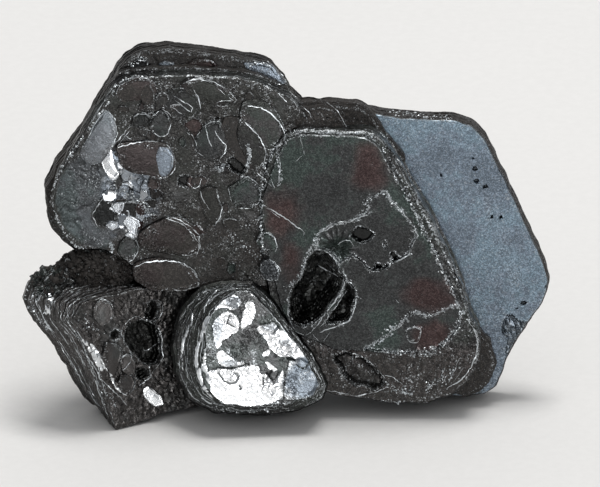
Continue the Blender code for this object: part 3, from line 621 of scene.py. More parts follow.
def outline_gap(x, y, line, closed=True):
    """How far each point is from a line of points, and the nearest place on it. Inside a closed one,
    found by counting the edges crossed to the right, the distance is less than 0."""
    ends = np.roll(line, -1, 0) if closed else line[1:]
    starts = line if closed else line[:-1]
    gap, near = np.full(len(x), 1e3), np.zeros((len(x), 2))
    reach = 2.5
    low, high = line.min(0) - reach, line.max(0) + reach
    close = np.nonzero((x > low[0]) & (x < high[0]) & (y > low[1]) & (y < high[1]))[0]
    edge = ends - starts
    for part in np.array_split(close, max(1, len(close) * len(line) // 2_000_000)):
        point = np.stack([x[part], y[part]], 1)[:, None]
        share = ((point - starts) * edge).sum(2) / np.maximum((edge * edge).sum(1), 1e-12)
        foot = starts + np.clip(share, 0, 1)[..., None] * edge
        far = np.linalg.norm(point - foot, axis=2)
        pick = far.argmin(1)
        rows = np.arange(len(part))
        gap[part], near[part] = far[rows, pick], foot[rows, pick]
        if closed:
            px, py = point[..., 0], point[..., 1]
            spans = (starts[:, 1] > py) != (ends[:, 1] > py)
            rise = np.where(edge[:, 1] == 0, 1e-12, edge[:, 1])
            crossed = spans & (px < starts[:, 0] + (py - starts[:, 1]) / rise * edge[:, 0])
            gap[part] *= np.where(crossed.sum(1) % 2 == 1, -1, 1)
    return gap, near


class Relief:
    """The grid of a crystal face while it is pressed in and out: x, y and z in mm, each point's share
    of the way out (r), and its finish marks."""

    def __init__(self, x, y, r, cell):
        self.x, self.y, self.r, self.cell = x, y, r, cell
        self.z = np.zeros(len(x))
        self.marks = {name: np.zeros(len(x)) for name in MARKS}

    def noise(self, size, seed, octaves=3):
        """Fractal noise over the face, on a lattice of this many mm."""
        return fractal(self.x / size, self.y / size, seed, octaves)

    def mark(self, name, amount):
        self.marks[name] = np.clip(np.maximum(self.marks[name], amount), 0, 1)

    def meet(self, loop):
        """Distances to the outline, after the points within half a cell have moved onto it, each to its
        own side, so that a step there is crisp. The rim stays."""
        gap, near = outline_gap(self.x, self.y, loop)
        hair = 0.02
        beside = (np.abs(gap) < 0.5 * self.cell) & (self.r < 0.995)
        share = hair / np.maximum(np.abs(gap), 1e-4)
        point = np.stack([self.x, self.y], 1)
        point = np.where(beside[:, None], near + (point - near) * share[:, None], point)
        self.x, self.y = point[:, 0], point[:, 1]
        return np.where(beside, np.sign(gap) * hair, gap)

    def step(self, loop, height, stairs=1, tread=0.3, lip=0.12, bright=1.0):
        """Raises the inside of an outline, or sinks it for a height under 0, in one step or in stairs
        that each reach tread mm further in. The lip on both sides is marked as an edge."""
        gap = self.meet(loop)
        climbed = np.clip(np.ceil(-gap / tread + 0.4 * fractal(self.x, self.y, 77, 3)), 1, stairs) / stairs
        self.z += np.where(gap < 0, height * climbed, 0)
        self.mark("edge", bright * np.exp(-((gap / lip) ** 2)))
        return gap

    def rough(self, height, size, where=1.0, seed=5):
        """Facets of this size and height, in mm, where the mask says."""
        level, border = facets(self.x / size, self.y / size, seed)
        self.z += height * level * where
        return border

    def groove(self, line, width, depth, bright=0.0):
        """A furrow along a line, or a ridge for a depth under 0, that fades at both ends."""
        gap, near = outline_gap(self.x, self.y, line, closed=False)
        ends = np.minimum(np.linalg.norm(near - line[0], axis=1), np.linalg.norm(near - line[-1], axis=1))
        shape = np.exp(-((gap / width) ** 2)) * (0.25 + 0.75 * ease(0, 0.6, ends))
        self.z -= depth * shape
        self.mark("edge", bright * shape)


@functools.lru_cache(maxsize=None)
def disc(rings):
    """A square grid wound into rings: each point's share of the way out, its share of the way round,
    the order of the outer ring, and the quads. Ring k is the square at k steps from the middle."""
    side = np.arange(-rings, rings + 1)
    i, j = np.meshgrid(side, side, indexing="ij")
    k = np.maximum(abs(i), abs(j))
    s = np.select([i == k, j == k, i == -k], [j + k, 3 * k - i, 5 * k - j], 7 * k + i)
    t = s / np.maximum(8 * k, 1)
    index = np.arange(side.size**2).reshape(side.size, -1)
    outer = index[k == rings][np.argsort(s[k == rings])]
    quads = np.stack([index[:-1, :-1], index[1:, :-1], index[1:, 1:], index[:-1, 1:]], -1).reshape(-1, 4)
    return k.ravel() / rings, t.ravel(), outer, quads


def spread(loop, middle, rings):
    """The disc laid inside an outline: middle + r (outline(t) - middle)."""
    r, t, _, _ = disc(rings)
    at = t * len(loop)
    first = np.floor(at).astype(int)
    share = (at - first)[:, None]
    rim = loop[first % len(loop)] * (1 - share) + loop[(first + 1) % len(loop)] * share
    return middle + r[:, None] * (rim - middle)


class Shell:
    """Gathers closed surfaces into one mesh, with their finish marks."""

    def __init__(self):
        self.points, self.faces, self.marks, self.count = [], [], [], 0

    def add(self, points, faces, marks):
        """Points in metres, lists of quads or triangles that number them from 0, and marks by name."""
        table = np.zeros((len(points), len(MARKS)), np.float32)
        for name, value in marks.items():
            table[:, MARKS.index(name)] = value
        points = np.array(points)
        points[:, 2] = np.maximum(points[:, 2], 0)
        self.points.append(points)
        self.marks.append(table)
        self.faces += [np.asarray(face) + self.count for face in faces]
        self.count += len(points)

    def piece(self, name, material, sharp=30):
        """The mesh object: smooth, except at edges sharper than this many degrees."""
        mesh = bpy.data.meshes.new(name)
        points = np.concatenate(self.points).astype(np.float32)
        corners = np.concatenate([face.ravel() for face in self.faces])
        sizes = np.concatenate([np.full(len(face), face.shape[1]) for face in self.faces])
        mesh.vertices.add(len(points))
        mesh.vertices.foreach_set("co", points.ravel())
        mesh.loops.add(len(corners))
        mesh.loops.foreach_set("vertex_index", corners.astype(np.int32))
        mesh.polygons.add(len(sizes))
        mesh.polygons.foreach_set("loop_start", (np.cumsum(sizes) - sizes).astype(np.int32))
        mesh.update(calc_edges=True)
        table = np.concatenate(self.marks)
        for i, mark in enumerate(MARKS):
            mesh.attributes.new(mark, "FLOAT", "POINT").data.foreach_set("value", table[:, i].copy())
        mesh.shade_smooth()
        mesh.set_sharp_from_angle(angle=math.radians(sharp))
        mesh.materials.append(material)
        obj = bpy.data.objects.new(name, mesh)
        bpy.context.scene.collection.objects.link(obj)
        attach(obj, "root")
        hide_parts(NODE)
        return obj


def side_wall(loop, thick, bevel=0.15, layers=6, swing=0.08, seed=3, stair=0.0, bright=0.7):
    """The rim of a layered crystal from its face down: growth layers of uneven thickness, each pushed
    out by its own noise, so that they end in fine steps. (outline, z, edge mark) for each level."""
    rng = np.random.default_rng(seed)
    out = outward(loop)
    cuts = np.sort(rng.uniform(0.04, 0.96, layers - 1)) if layers > 1 else np.array([])
    cuts = np.concatenate([[0], cuts, [1]])
    body = thick - 2 * bevel
    levels = []
    for k in range(layers):
        push = swing * fractal(loop[:, 0] / 1.5 + 5 * k, loop[:, 1] / 1.5, seed + 3 * k, 3)
        push += swing * rng.uniform(-0.5, 0.5) + bevel + stair * k / layers
        line = loop + out * push[:, None]
        hair = min(0.015, 0.2 * body * (cuts[k + 1] - cuts[k]))
        # The top level's rim is painted with a glint, the lower ones faintly at random
        edge = bright if k == 0 else 0.35 * rng.random() ** 2
        levels.append((line, -bevel - body * cuts[k], edge))
        levels.append((line, -bevel - body * cuts[k + 1] + hair, edge * 0.4))
    levels.append((loop + out * (stair * (layers - 1) / layers), -thick, 0.3))
    return levels


def facing_side(x, y, middle, angle, least=0.15):
    """1 on the side of the middle that lies at this angle, in degrees, down to least on the other."""
    way = np.arctan2(y - middle[1], x - middle[0]) - math.radians(angle)
    return least + (1 - least) * ease(-0.3, 0.8, np.cos(way))


def crystal(shell, plane, loop, levels, relief, marks, back=None, glint=40, rim=0.8, least=0.15, worn=0.3):
    """A closed crystal: a face inside the outline, pressed by relief, a wall of levels under its rim,
    and a back that is a second face or, where nothing shows it, a point. Its rim glints most on the
    side at the glint angle."""
    rings = len(loop) // 8
    r, _, outer, quads = disc(rings)
    middle = loop.mean(0)
    base = {name: float(marks.get(name, 0)) for name in MARKS}
    flat = spread(loop, middle, rings)
    cell = np.linalg.norm(loop - middle, axis=1).mean() / rings
    face = Relief(flat[:, 0], flat[:, 1], r, cell)
    for name, value in base.items():
        face.marks[name] += value
    relief(face)
    # The outer row is painted with a glint, strongest on the glint side
    bright = rim * facing_side(face.x, face.y, middle, glint, least)
    face.mark("edge", bright * (r > 1 - 0.5 / rings))
    face.marks["fresh"][outer] *= 0.4
    points = [plane.place(face.x, face.y, face.z)]
    marked = [np.stack([face.marks[name] for name in MARKS], 1)]
    faces = [quads]
    above, top = outer, face.z[outer]
    count = len(r)
    for line, z, edge in levels:
        top = np.minimum(z, top - 0.008)
        points.append(plane.place(line[:, 0], line[:, 1], top))
        row = np.tile([base[name] for name in MARKS], (len(line), 1))
        # The wall levels take the rim's painted glint, and no painted reflection
        row[:, 0] = edge * bright[outer]
        row[:, 1] = 0
        row[:, MARKS.index("sand")] = 0.4
        row[:, MARKS.index("dull")] = np.maximum(row[:, MARKS.index("dull")], worn)
        marked.append(row)
        below = count + np.arange(len(line))
        faces.append(np.stack([above, below, np.roll(below, -1), np.roll(above, -1)], 1))
        above, count = below, count + len(line)
    last, depth = levels[-1][0], levels[-1][1]
    centre = last.mean(0)
    if back is None:
        points.append(plane.place(*centre[:, None], np.array([top.min()])))
        marked.append(np.array([[base[name] for name in MARKS]]))
        faces.append(np.stack([np.full(len(above), count), np.roll(above, -1), above], 1))
    else:
        flat = spread(last, centre, rings)
        rear = Relief(flat[:, 0], flat[:, 1], r, cell)
        for name, value in base.items():
            rear.marks[name] += value * (name != "fresh")
        back(rear)
        inner = np.ones(len(r), bool)
        inner[outer] = False
        number = np.zeros(len(r), int)
        number[inner] = count + np.arange(inner.sum())
        number[outer] = above
        points.append(plane.place(rear.x, rear.y, depth - rear.z)[inner])
        marked.append(np.stack([rear.marks[name] for name in MARKS], 1)[inner])
        faces.append(number[quads[:, ::-1]])
    table = np.concatenate(marked)
    shell.add(np.concatenate(points), faces, {name: table[:, i] for i, name in enumerate(MARKS)})


def growth_back(seed):
    """The relief of a back face: broad growth steps, terraces that follow its rim and fine facets."""
    def press(face):
        x, y = face.x, face.y
        steps = np.floor(2.2 * fractal(x / 7, y / 7, seed, 3) * 2) / 2
        inner = ease(0, 0.12, 1 - face.r)
        face.z += 0.22 * steps * inner
        # A known fault: near the middle the sum can be below 0, and its power is then no number
        climb = 5.5 * (face.r + 0.16 * fractal(x / 4, y / 4, seed + 2, 3)) ** 1.6
        face.z -= 0.16 * np.floor(climb) * inner
        broken = ease(-0.25, 0.35, fractal(x / 3, y / 3, seed + 3, 3))
        lip = np.exp(-(((climb - np.round(climb)) / 0.09) ** 2)) * broken
        # Painted glints along the broken terrace lips
        face.mark("edge", 0.5 * lip * (climb > 0.5))
        face.z += 0.05 * fractal(x / 1.2, y / 1.2, seed + 9, 4) * inner
        border = face.rough(0.16, 0.7, inner * ease(0.1, 0.5, fractal(x / 4, y / 4, seed + 4, 3)), seed)
        face.mark("dull", ease(-0.1, 0.4, fractal(x / 4, y / 4, seed + 4, 3)))
        # Painted glints on facet borders
        face.mark("edge", 0.25 * border)
        face.mark("sand", 0.7 * ease(-0.3, 0.3, fractal(x / 3, y / 3, seed + 6, 3)))
    return press


def grow_scales(shell, plane, scales, rings=13, seed=40):
    """Growth scales: thin crystals on a face, each with its own tilt. A scale's face rises in two
    terraces that follow its rim, and bows by dome (1 - r^2)."""
    for i, (outline, proud, lean, yaw, marks) in enumerate(scales):
        spot = np.mean(outline, axis=0)
        own = plane.tilted(spot, proud, lean, yaw)
        size = np.ptp(np.asarray(outline), axis=0).mean()
        loop = own.loop(outline, 8 * rings, 0.05 * size, 0.035 * size, 0.25 * size + 0.2, seed + i)
        glint = 40 + 75 * (2 * lattice(np.array(seed), np.array(i), 7) - 1)

        def press(face, size=size, glint=glint, key=seed + i):
            middle = (face.x.mean(), face.y.mean())
            side = facing_side(face.x, face.y, middle, glint, 0.0)
            wander = 0.1 * face.noise(1.4, key)
            line = np.exp(-(((face.r + wander - 0.84) * 0.5 * size / 0.07) ** 2)) * side
            face.z += 0.05 * line + 0.012 * size * (1 - face.r**2)
            face.z += 0.015 * face.noise(0.5, key + 7)
            # The ridge is painted with a glint on larger scales
            face.mark("edge", 0.45 * line * (size > 2))
            sandy = ease(0.55, 1.0, face.r + 0.5 * face.noise(1.1, key + 3)) * (1 - side)
            face.mark("sand", 0.7 * sandy)

        wall = side_wall(loop, proud + 0.5, 0.05, 2, 0.05, seed + 5 * i, 0.1)
        crystal(shell, own, loop, wall, press, marks, glint=glint, rim=0.85, least=0.05)


def random_scales(area, count, small, large, seed, marks_of):
    """Outlines of small scales scattered in an area: uneven polygons of five to eight corners."""
    rng = np.random.default_rng(seed)
    area = np.asarray(area, float)
    found = []
    while len(found) < count:
        at = rng.uniform(area.min(0), area.max(0))
        if outline_gap(at[:1], at[1:], area)[0][0] > -0.4:
            continue
        size = small + (large - small) * rng.random() ** 2
        sides = rng.integers(5, 9)
        angle = (np.arange(sides) + rng.uniform(-0.3, 0.3, sides) + rng.random()) * math.tau / sides
        reach = size * rng.uniform(0.38, 0.6, sides)
        stretch = rng.uniform(0.7, 1.3)
        outline = at + np.stack([reach * np.cos(angle) * stretch, reach * np.sin(angle) / stretch], 1)
        found.append((outline, rng.uniform(0.06, 0.26), rng.normal(0, 4), rng.normal(0, 4), marks_of(rng)))
    return found


class Sight:
    """Lines of sight cast onto the pieces grown so far."""

    def __init__(self):
        bpy.context.view_layer.update()
        state = bpy.context.evaluated_depsgraph_get()
        meshes = [obj for obj in bpy.context.scene.objects if obj.type == "MESH"]
        grown = [obj for obj in meshes if "edge" in obj.data.attributes]
        self.trees = [BVHTree.FromObject(obj, state) for obj in grown]

    def meet(self, u, v):
        """The nearest point seen at (u, v), in mm, and the surface's normal there."""
        start = Vector((ACROSS * u + UP_SEEN * v - MIDDLE + 100 * TO_EYE) * MM)
        hits = [tree.ray_cast(start, Vector(-TO_EYE)) for tree in self.trees]
        hits = [hit for hit in hits if hit[0] is not None]
        if not hits:
            return None
        at, normal, _, _ = min(hits, key=lambda hit: hit[3])
        return np.array(at) / MM, np.array(normal)

    def drape(self, line, seed, step=0.12, leap=0.45):
        """The line laid on the surface in even steps with rounded corners and a slight tremble, cut
        wherever the surface leaps nearer or further: (points, normals) for each run."""
        line = np.asarray(line, float)
        run = run_along(line)
        at = np.linspace(0, run[-1], max(6, int(run[-1] / step)))
        path = points_at(at, run, line)
        for _ in range(3):
            path[1:-1] = (path[:-2] + 2 * path[1:-1] + path[2:]) / 4
        path += 0.05 * np.stack([noise(at * 2.3, at * 0, seed), noise(at * 2.3, at * 0 + 7, seed)], 1)
        path += 0.04 * np.stack([noise(at * 6.1, at * 0 + 3, seed), noise(at * 6.1, at * 0 + 9, seed)], 1)
        runs = [[]]
        for u, v in path:
            hit = self.meet(u, v)
            if hit is None or (runs[-1] and abs((hit[0] - runs[-1][-1][0]) @ TO_EYE) > leap):
                runs.append([])
            if hit is not None:
                runs[-1].append(hit)
        return [tuple(np.array(part) for part in zip(*run)) for run in runs if len(run) > 4]


def grow_ridge(shell, path, normals, width, height, seed, marks, sides=6):
    """A raised hair line: a half-round profile carried along the path on the surface, its width
    wavering and thinning to both ends."""
    count = len(path)
    for _ in range(2):
        normals[1:-1] = (normals[:-2] + normals[1:-1] + normals[2:]) / 3
    along = np.gradient(path, axis=0)
    square = np.cross(along, normals)
    square /= np.linalg.norm(square, axis=1)[:, None] + 1e-9
    place = np.linspace(-1, 1, count)
    unrest = min(1.0, 0.12 / width)
    ragged = noise(place * count / 4, place * 0, seed) + 1.2 * noise(place * count / 11, place * 0 + 3, seed)
    ragged = 1 + unrest * (0.5 * ragged - 0.25)
    taper = np.clip(1 - place**2, 0, 1) ** 0.35 * np.clip(ragged, 0.02, 1.3) + 0.02
    turn = np.arange(sides) * math.tau / sides
    flat = (np.cos(turn) * width / 2)[None, :] * taper[:, None]
    rise = (np.sin(turn) * height)[None, :] * taper[:, None]
    points = path[:, None] + square[:, None] * flat[..., None] + normals[:, None] * rise[..., None]
    index = np.arange(count * sides).reshape(count, sides)
    near, far = index[:-1], index[1:]
    quads = np.stack([near, far, np.roll(far, -1, 1), np.roll(near, -1, 1)], -1).reshape(-1, 4)
    shell.add(points.reshape(-1, 3) * MM, [quads, index[0][None], index[-1][None, ::-1]], marks)


def strata(face, base, first, last, count, seed):
    """Lines between two outlines from one corner to another, each a chance part of the way along."""
    rng = np.random.default_rng(seed)
    corners = np.arange(first, last + 1) % len(face)
    inner, outer = np.asarray(face)[corners], np.asarray(base)[corners]
    lines = []
    for i in range(count):
        share = (i + rng.uniform(0.2, 0.9)) / count
        line = inner + share * (outer - inner) + rng.normal(0, 0.08, inner.shape)
        at = np.linspace(*np.sort(rng.uniform(0, len(line) - 1, 2)), 6)
        path = points_at(at, np.arange(len(line)), line)
        lines.append((0.05 + 0.09 * rng.random() ** 2, path))
    return lines


def grow_growth_lines():
    """Hair lines along the rims of thin growth layers, laid on the crystals."""
    shell, sight = Shell(), Sight()
    lines = []
    for width, group in HAIR_LINES.items():
        lines += [(width, seen(line)) for line in group.split("|")]
    lines += strata(TURNED_FACE, TURNED_BASE, 12, 19, 22, 31)
    lines += strata(LOBED_FACE, LOBED_BASE, 11, 21, 13, 32) + strata(LOBED_FACE, LOBED_BASE, 22, 27, 6, 33)
    lines += strata(LEFT_FRONT, LEFT_BACK, 0, 4, 5, 34)
    for i, (width, line) in enumerate(lines):
        for path, normals in sight.drape(line, 600 + i, leap=0.4 + 1.2 * width):
            # The widest lines also get a painted reflection
            marks = {"fresh": 0.45} if width > 0.3 else {}
            grow_ridge(shell, path, normals, 1.1 * width, 0.05, 600 + i, marks)
    return shell


def grow_glitter_bands():
    """Bands of broken grains along the rims, each grain turned its own way."""
    shell, sight = Shell(), Sight()
    for i, (width, dense, line) in enumerate(GLITTER_LINES):
        rng = np.random.default_rng(700 + i)
        line = seen(line)
        run = run_along(line)
        at = rng.uniform(0, run[-1], int(dense * run[-1]))
        spots = points_at(at, run, line)
        spots += rng.normal(0, 0.36 * width, spots.shape)
        hits = [sight.meet(u, v) for u, v in spots]
        middles = np.array([hit[0] for hit in hits if hit is not None]).reshape(-1, 3)
        sizes = rng.uniform(0.07, 0.16, len(middles)) + 0.14 * rng.random(len(middles)) ** 4
        grow_grains(shell, middles, sizes, 800 + i, {})
    return shell


@functools.lru_cache(maxsize=None)
def grain_form():
    """A small blocky crystal: rings of six points at four heights, with a point at each end."""
    turn = np.arange(6) * math.tau / 6
    rings = [(0.55, -0.42), (0.72, -0.2), (0.66, 0.28), (0.4, 0.46)]
    points = [(0, 0, -0.5)]
    for reach, z in rings:
        points += [(reach * math.cos(a), reach * math.sin(a), z) for a in turn]
    points.append((0, 0, 0.5))
    index = 1 + np.arange(24).reshape(4, 6)
    near, far = index[:-1], index[1:]
    quads = np.stack([near, np.roll(near, -1, 1), np.roll(far, -1, 1), far], -1).reshape(-1, 4)
    foot = np.stack([np.zeros(6, int), np.roll(index[0], -1), index[0]], 1)
    tip = np.stack([np.full(6, 25), index[-1], np.roll(index[-1], -1)], 1)
    return np.array(points), quads, foot, tip


def grow_grains(shell, centres, sizes, seed, marks):
    """Blocky grains at these points, in mm, each stretched, squeezed and turned at random, all of them
    worked out at once."""
    rng = np.random.default_rng(seed)
    form, quads, foot, tip = grain_form()
    count = len(centres)
    turn, _ = np.linalg.qr(rng.normal(size=(count, 3, 3)))
    turn[np.linalg.det(turn) < 0] *= -1
    stretch = rng.uniform(0.5, 1.25, (count, 1, 3)) * np.asarray(sizes)[:, None, None]
    points = np.einsum("nij,nkj->nki", turn, form[None] * stretch) + np.asarray(centres)[:, None]
    offset = (np.arange(count) * len(form))[:, None, None]
    table = {name: np.repeat(np.broadcast_to(value, count), len(form)) for name, value in marks.items()}
    faces = [(face[None] + offset).reshape(-1, face.shape[1]) for face in (quads, foot, tip)]
    shell.add(points.reshape(-1, 3) * MM, faces, table)


def grow_lump(shell, middle, reach, rough, size, seed, marks, rows=110):
    """A flattened ball: middle + reach times the unit sphere, pushed out by facets and noise worked
    out from each point's own direction. The seam is shared and both poles close."""
    around = 2 * rows
    tall = np.linspace(0, math.pi, rows)[1:-1]
    turn = np.arange(around) * math.tau / around
    a, b = np.meshgrid(tall, turn, indexing="ij")
    unit = np.stack([np.sin(a) * np.cos(b), np.sin(a) * np.sin(b), np.cos(a)], -1).reshape(-1, 3)
    unit = np.vstack([unit, [(0, 0, 1), (0, 0, -1)]])
    place = unit * reach
    x, y, z = place.T
    level, border = facets((x + 0.3 * y) / size, (z - 0.3 * y) / size, seed)
    broad = fractal(x / 5, z / 5 + y / 7, seed + 5, 4)
    points = middle + place + unit * (rough * (level + 0.8 * broad))[:, None]
    index = np.arange(len(tall) * around).reshape(len(tall), around)
    near, far = index[:-1], index[1:]
    quads = np.stack([near, far, np.roll(far, -1, 1), np.roll(near, -1, 1)], -1).reshape(-1, 4)
    top, bottom = index.size, index.size + 1
    crown = np.stack([np.full(around, top), index[0], np.roll(index[0], -1)], 1)
    foot = np.stack([np.full(around, bottom), np.roll(index[-1], -1), index[-1]], 1)
    shell.add(points * MM, [quads, crown, foot], dict(marks, edge=0.3 * border))


def ball_points(middle, reach, count, seed):
    """Random points on a flattened ball's surface, in mm."""
    way = np.random.default_rng(seed).normal(size=(count, 3))
    way /= np.linalg.norm(way, axis=1)[:, None]
    return growth_point(*middle) + way * reach


def terraced(plane, base, face, steps, depth, count, seed):
    """The outline of a stepped crystal's face, and its side as levels: each growth step's outline lies
    between that of the face and that of the base, its rim a little off its even place."""
    rng = np.random.default_rng(seed)
    face, base = np.asarray(face), np.asarray(base)
    top = plane.loop(face, count, 0.15, 0.16, 1.1, seed)
    levels = []
    for i in range(steps):
        share = np.clip((i + rng.uniform(-0.3, 0.3)) / (steps - 1), 0.02, 1) if i else 0.0
        spot = plane.behind(depth * i / (steps - 1))
        loop = spot.loop(face + (base - face) * share, count, 0.15, 0.28, 1.3, seed + 7 * i)
        if i == 0:
            loop = top
        low = -depth * i / (steps - 1)
        fall = depth / (steps - 1)
        # Some step rims are painted with a strong glint, the others with a faint one
        bright = 0.9 if rng.random() < 0.45 else 0.25
        out = outward(loop)
        levels.append((loop + out * 0.03, low - 0.03, bright))
        levels.append((loop + out * 0.06, low - 0.45 * fall, 0.1))
        levels.append((loop + out * 0.02, low - fall + 0.03, 0.0))
    levels.append((wider(loop, 0.3), -depth - 0.6, 0.0))
    levels.append((loop, -depth - 1.5, 0.0))
    return top, levels


def press_right(plane):
    """The right-hand plate: nearly smooth, hazy and duller low down, with a chip and small pits."""
    def press(face):
        face.z += 0.03 * face.noise(9, 11)
        haze, _ = outline_gap(face.x, face.y, plane.on(RIGHT_HAZE), closed=False)
        haze = ease(1.4, 0.0, haze) * ease(-0.3, 0.5, fractal(face.x / 0.6, face.y / 2.4, 18, 3))
        face.mark("blue", 0.3 * haze)
        face.mark("sand", 0.25 * haze)
        chip = plane.loop(RIGHT_CHIP, 160, 0.1, 0.25, 0.8, 12)
        gap = face.step(chip, -0.3, 1, 0.7, bright=0.35)
        inside = gap < 0
        face.rough(0.16, 0.5, inside, 13)
        face.mark("dull", 0.3 * inside)
        face.mark("sand", 0.6 * inside)
        low = ease(8, -14, face.y + 0.6 * face.x)
        face.mark("dull", 0.3 * low)
        face.mark("sand", 0.25 * low + 0.2 * low * ease(0.2, -0.5, fractal(face.x / 1.3, face.y / 5, 19, 3)))
        # A band of painted glints along the rim
        band = ease(0.93, 0.985, face.r + 0.02 * face.noise(2, 14))
        face.mark("edge", 0.4 * band * ease(0, 0.5, face.noise(0.4, 15, 2)))
        # Small pits painted dark as shade
        for i, (spot, size) in enumerate(zip(RIGHT_SPOTS, SPOT_SIZES)):
            gap = face.step(plane.loop(ring_at(*spot, size), 40, 0.03, 0.08, 0.3, 30 + i), -0.25, bright=0.0)
            face.mark("pit", 0.8 * (gap < 0))
    return press


def press_ledge(seed, height):
    """A dull ledge: gritty, and stepping down towards its rim in four low growth layers."""
    def press(face):
        inner = ease(0, 0.05, 1 - face.r)
        bend = 0.03 * face.noise(2.5, seed + 1)
        face.z -= 0.09 * np.floor(4.99 * ease(0.72, 1.02, face.r + bend))
        border = face.rough(height, 0.55, inner, seed)
        face.z += 0.35 * height * face.noise(0.3, seed + 3) * inner
        # Faint painted glints on facet borders
        face.mark("edge", 0.12 * border * ease(0, 0.6, face.noise(2, seed + 5)))
        face.mark("sand", 0.5)
    return press


def press_rim(plane):
    """The rim layer of the front plate: brown and rough below, with a dark hollow."""
    def press(face):
        low = ease(9.5, 6.5, face.y - plane.on([(10, 0)])[0][1])
        near_rim = ease(0.86, 0.97, face.r)
        border = face.rough(0.12, 0.45, np.maximum(low, near_rim * 0.6) * ease(0, 0.04, 1 - face.r), 21)
        face.mark("edge", 0.55 * border * ease(0.05, 0.5, face.noise(1.3, 22)))
        face.mark("sand", np.maximum(0.55 * low, 0.35))
        for outline, seed, depth in ((LARGE_PIT, 63, 2.6), (SIDE_PIT, 64, 2.0)):
            gap = face.step(wider(plane.loop(outline, 300, 0.1, 0.2, 0.6, seed), 0.25), -depth, bright=0)
            face.mark("pit", gap < 0.2)
        for i, spot in enumerate(BROKEN_PITS):
            gap = face.step(wider(plane.loop(spot, 60, 0.06, 0.12, 0.5, 56 + i), 0.15), -1.2, bright=0)
            face.mark("pit", gap < 0.1)
        gap = face.step(plane.loop(HOLLOW, 140, 0.12, 0.25, 0.7, 23), -0.7, 2, 0.3, bright=0.5)
        inside = gap < -0.1
        face.mark("pit", 0.6 * inside)
        face.mark("red", 0.4 * low)
        face.mark("dull", 0.55 * low * (gap > 0))
        # Four small rings painted as glints
        for i, (u, v) in enumerate([(6.9, 5.6), (8.3, 5.3), (9.4, 4.7), (7.5, 6.2)]):
            gap, _ = outline_gap(face.x, face.y, plane.loop(ring_at(u, v, 0.22), 24, 0.02, 0.03, 0.3, i))
            face.mark("edge", 0.9 * np.exp(-((gap / 0.06) ** 2)))
    return press


def wider(loop, reach):
    return loop + outward(loop) * reach


def ring_at(u, v, size):
    turn = np.linspace(0, math.tau, 11)[:-1]
    return np.array([u, v]) + size * np.stack([np.cos(turn), np.sin(turn)], 1)


def press_front(plane):
    """The smooth front face: a broken layer with a ribbed floor, a sliver at the low corner, two deep
    pits with stepped walls, and a glittering band along the right rim."""
    def press(face):
        face.z += 0.03 * face.noise(7, 51)
        wander = 0.5 * face.noise(2, 52)
        # Reddish patches of painted reflection
        for at, (wide, tall) in zip(plane.on(FRONT_REDS), RED_REACHES):
            far = np.hypot((face.x - at[0]) / wide, (face.y - at[1]) / tall)
            face.mark("red", ease(1.15, 0.35, far + wander))
        glint = face.noise(0.35, 53, 2)
        broken = face.step(plane.loop(BROKEN_LAYER, 300, 0.1, 0.28, 0.7, 54), -0.32, lip=0.14)
        inside = broken < 0
        left = plane.on([(5.6, 18.9)])[0]
        way = np.arctan2(face.y - left[1], face.x - left[0])
        far = np.hypot(face.x - left[0], face.y - left[1])
        ribs = np.sin(way * 17 + 2 * noise(far, way * 2, 55)) * ease(2.6, 1.2, far)
        face.z += 0.07 * ribs * ease(0, 0.3, -broken)
        # Painted shade in the hollows of the ribs
        face.mark("pit", 0.35 * inside * ease(0.1, 0.8, ribs))
        for i, spot in enumerate(BROKEN_PITS):
            gap = face.step(plane.loop(spot, 60, 0.06, 0.12, 0.5, 56 + i), -0.8, 2, 0.2, bright=0.8)
            face.mark("pit", 0.9 * (gap < -0.03))
        sliver = face.step(plane.loop(SLIVER, 260, 0.08, 0.2, 0.7, 61), -0.28, lip=0.14)
        face.step(plane.loop(HEXAGON_ETCH, 60, 0.03, 0.02, 0.5, 62), 0.03, lip=0.07, bright=0.55)
        large = face.step(plane.loop(LARGE_PIT, 300, 0.1, 0.22, 0.6, 63), -1.9, 7, 0.24, lip=0.12)
        side = face.step(plane.loop(SIDE_PIT, 240, 0.08, 0.16, 0.6, 64), -1.1, 4, 0.22, lip=0.12)
        deep = np.minimum(large, side)
        face.rough(0.2, 0.5, deep < -0.25, 65)
        # The deep pits painted near-black as shade
        face.mark("pit", 0.96 * (deep < -0.06))
        face.marks["edge"] *= np.where(deep < -0.1, 0.35, 1)
        # Painted glints scattered deep in the pits
        specks = ease(0.28, 0.45, face.noise(0.4, 68, 2))
        face.mark("edge", 0.9 * specks * (deep < -0.3))
        # Painted glints along the broken edges
        shatter = np.exp(-((np.minimum(np.abs(broken), np.abs(deep)) / 0.35) ** 2)) * ease(0.1, 0.5, glint)
        face.mark("edge", 0.8 * shatter)
        face.z += 0.05 * shatter * glint
        # Painted glints along the right rim
        band = ease(0.955, 0.99, face.r + 0.02 * face.noise(1.5, 66))
        band *= ease(-0.6, 0.4, face.x - 2.0)
        face.rough(0.12, 0.35, band * ease(0, 0.02, 1 - face.r), 67)
        face.mark("edge", 0.75 * band * ease(-0.1, 0.4, glint))
    return press


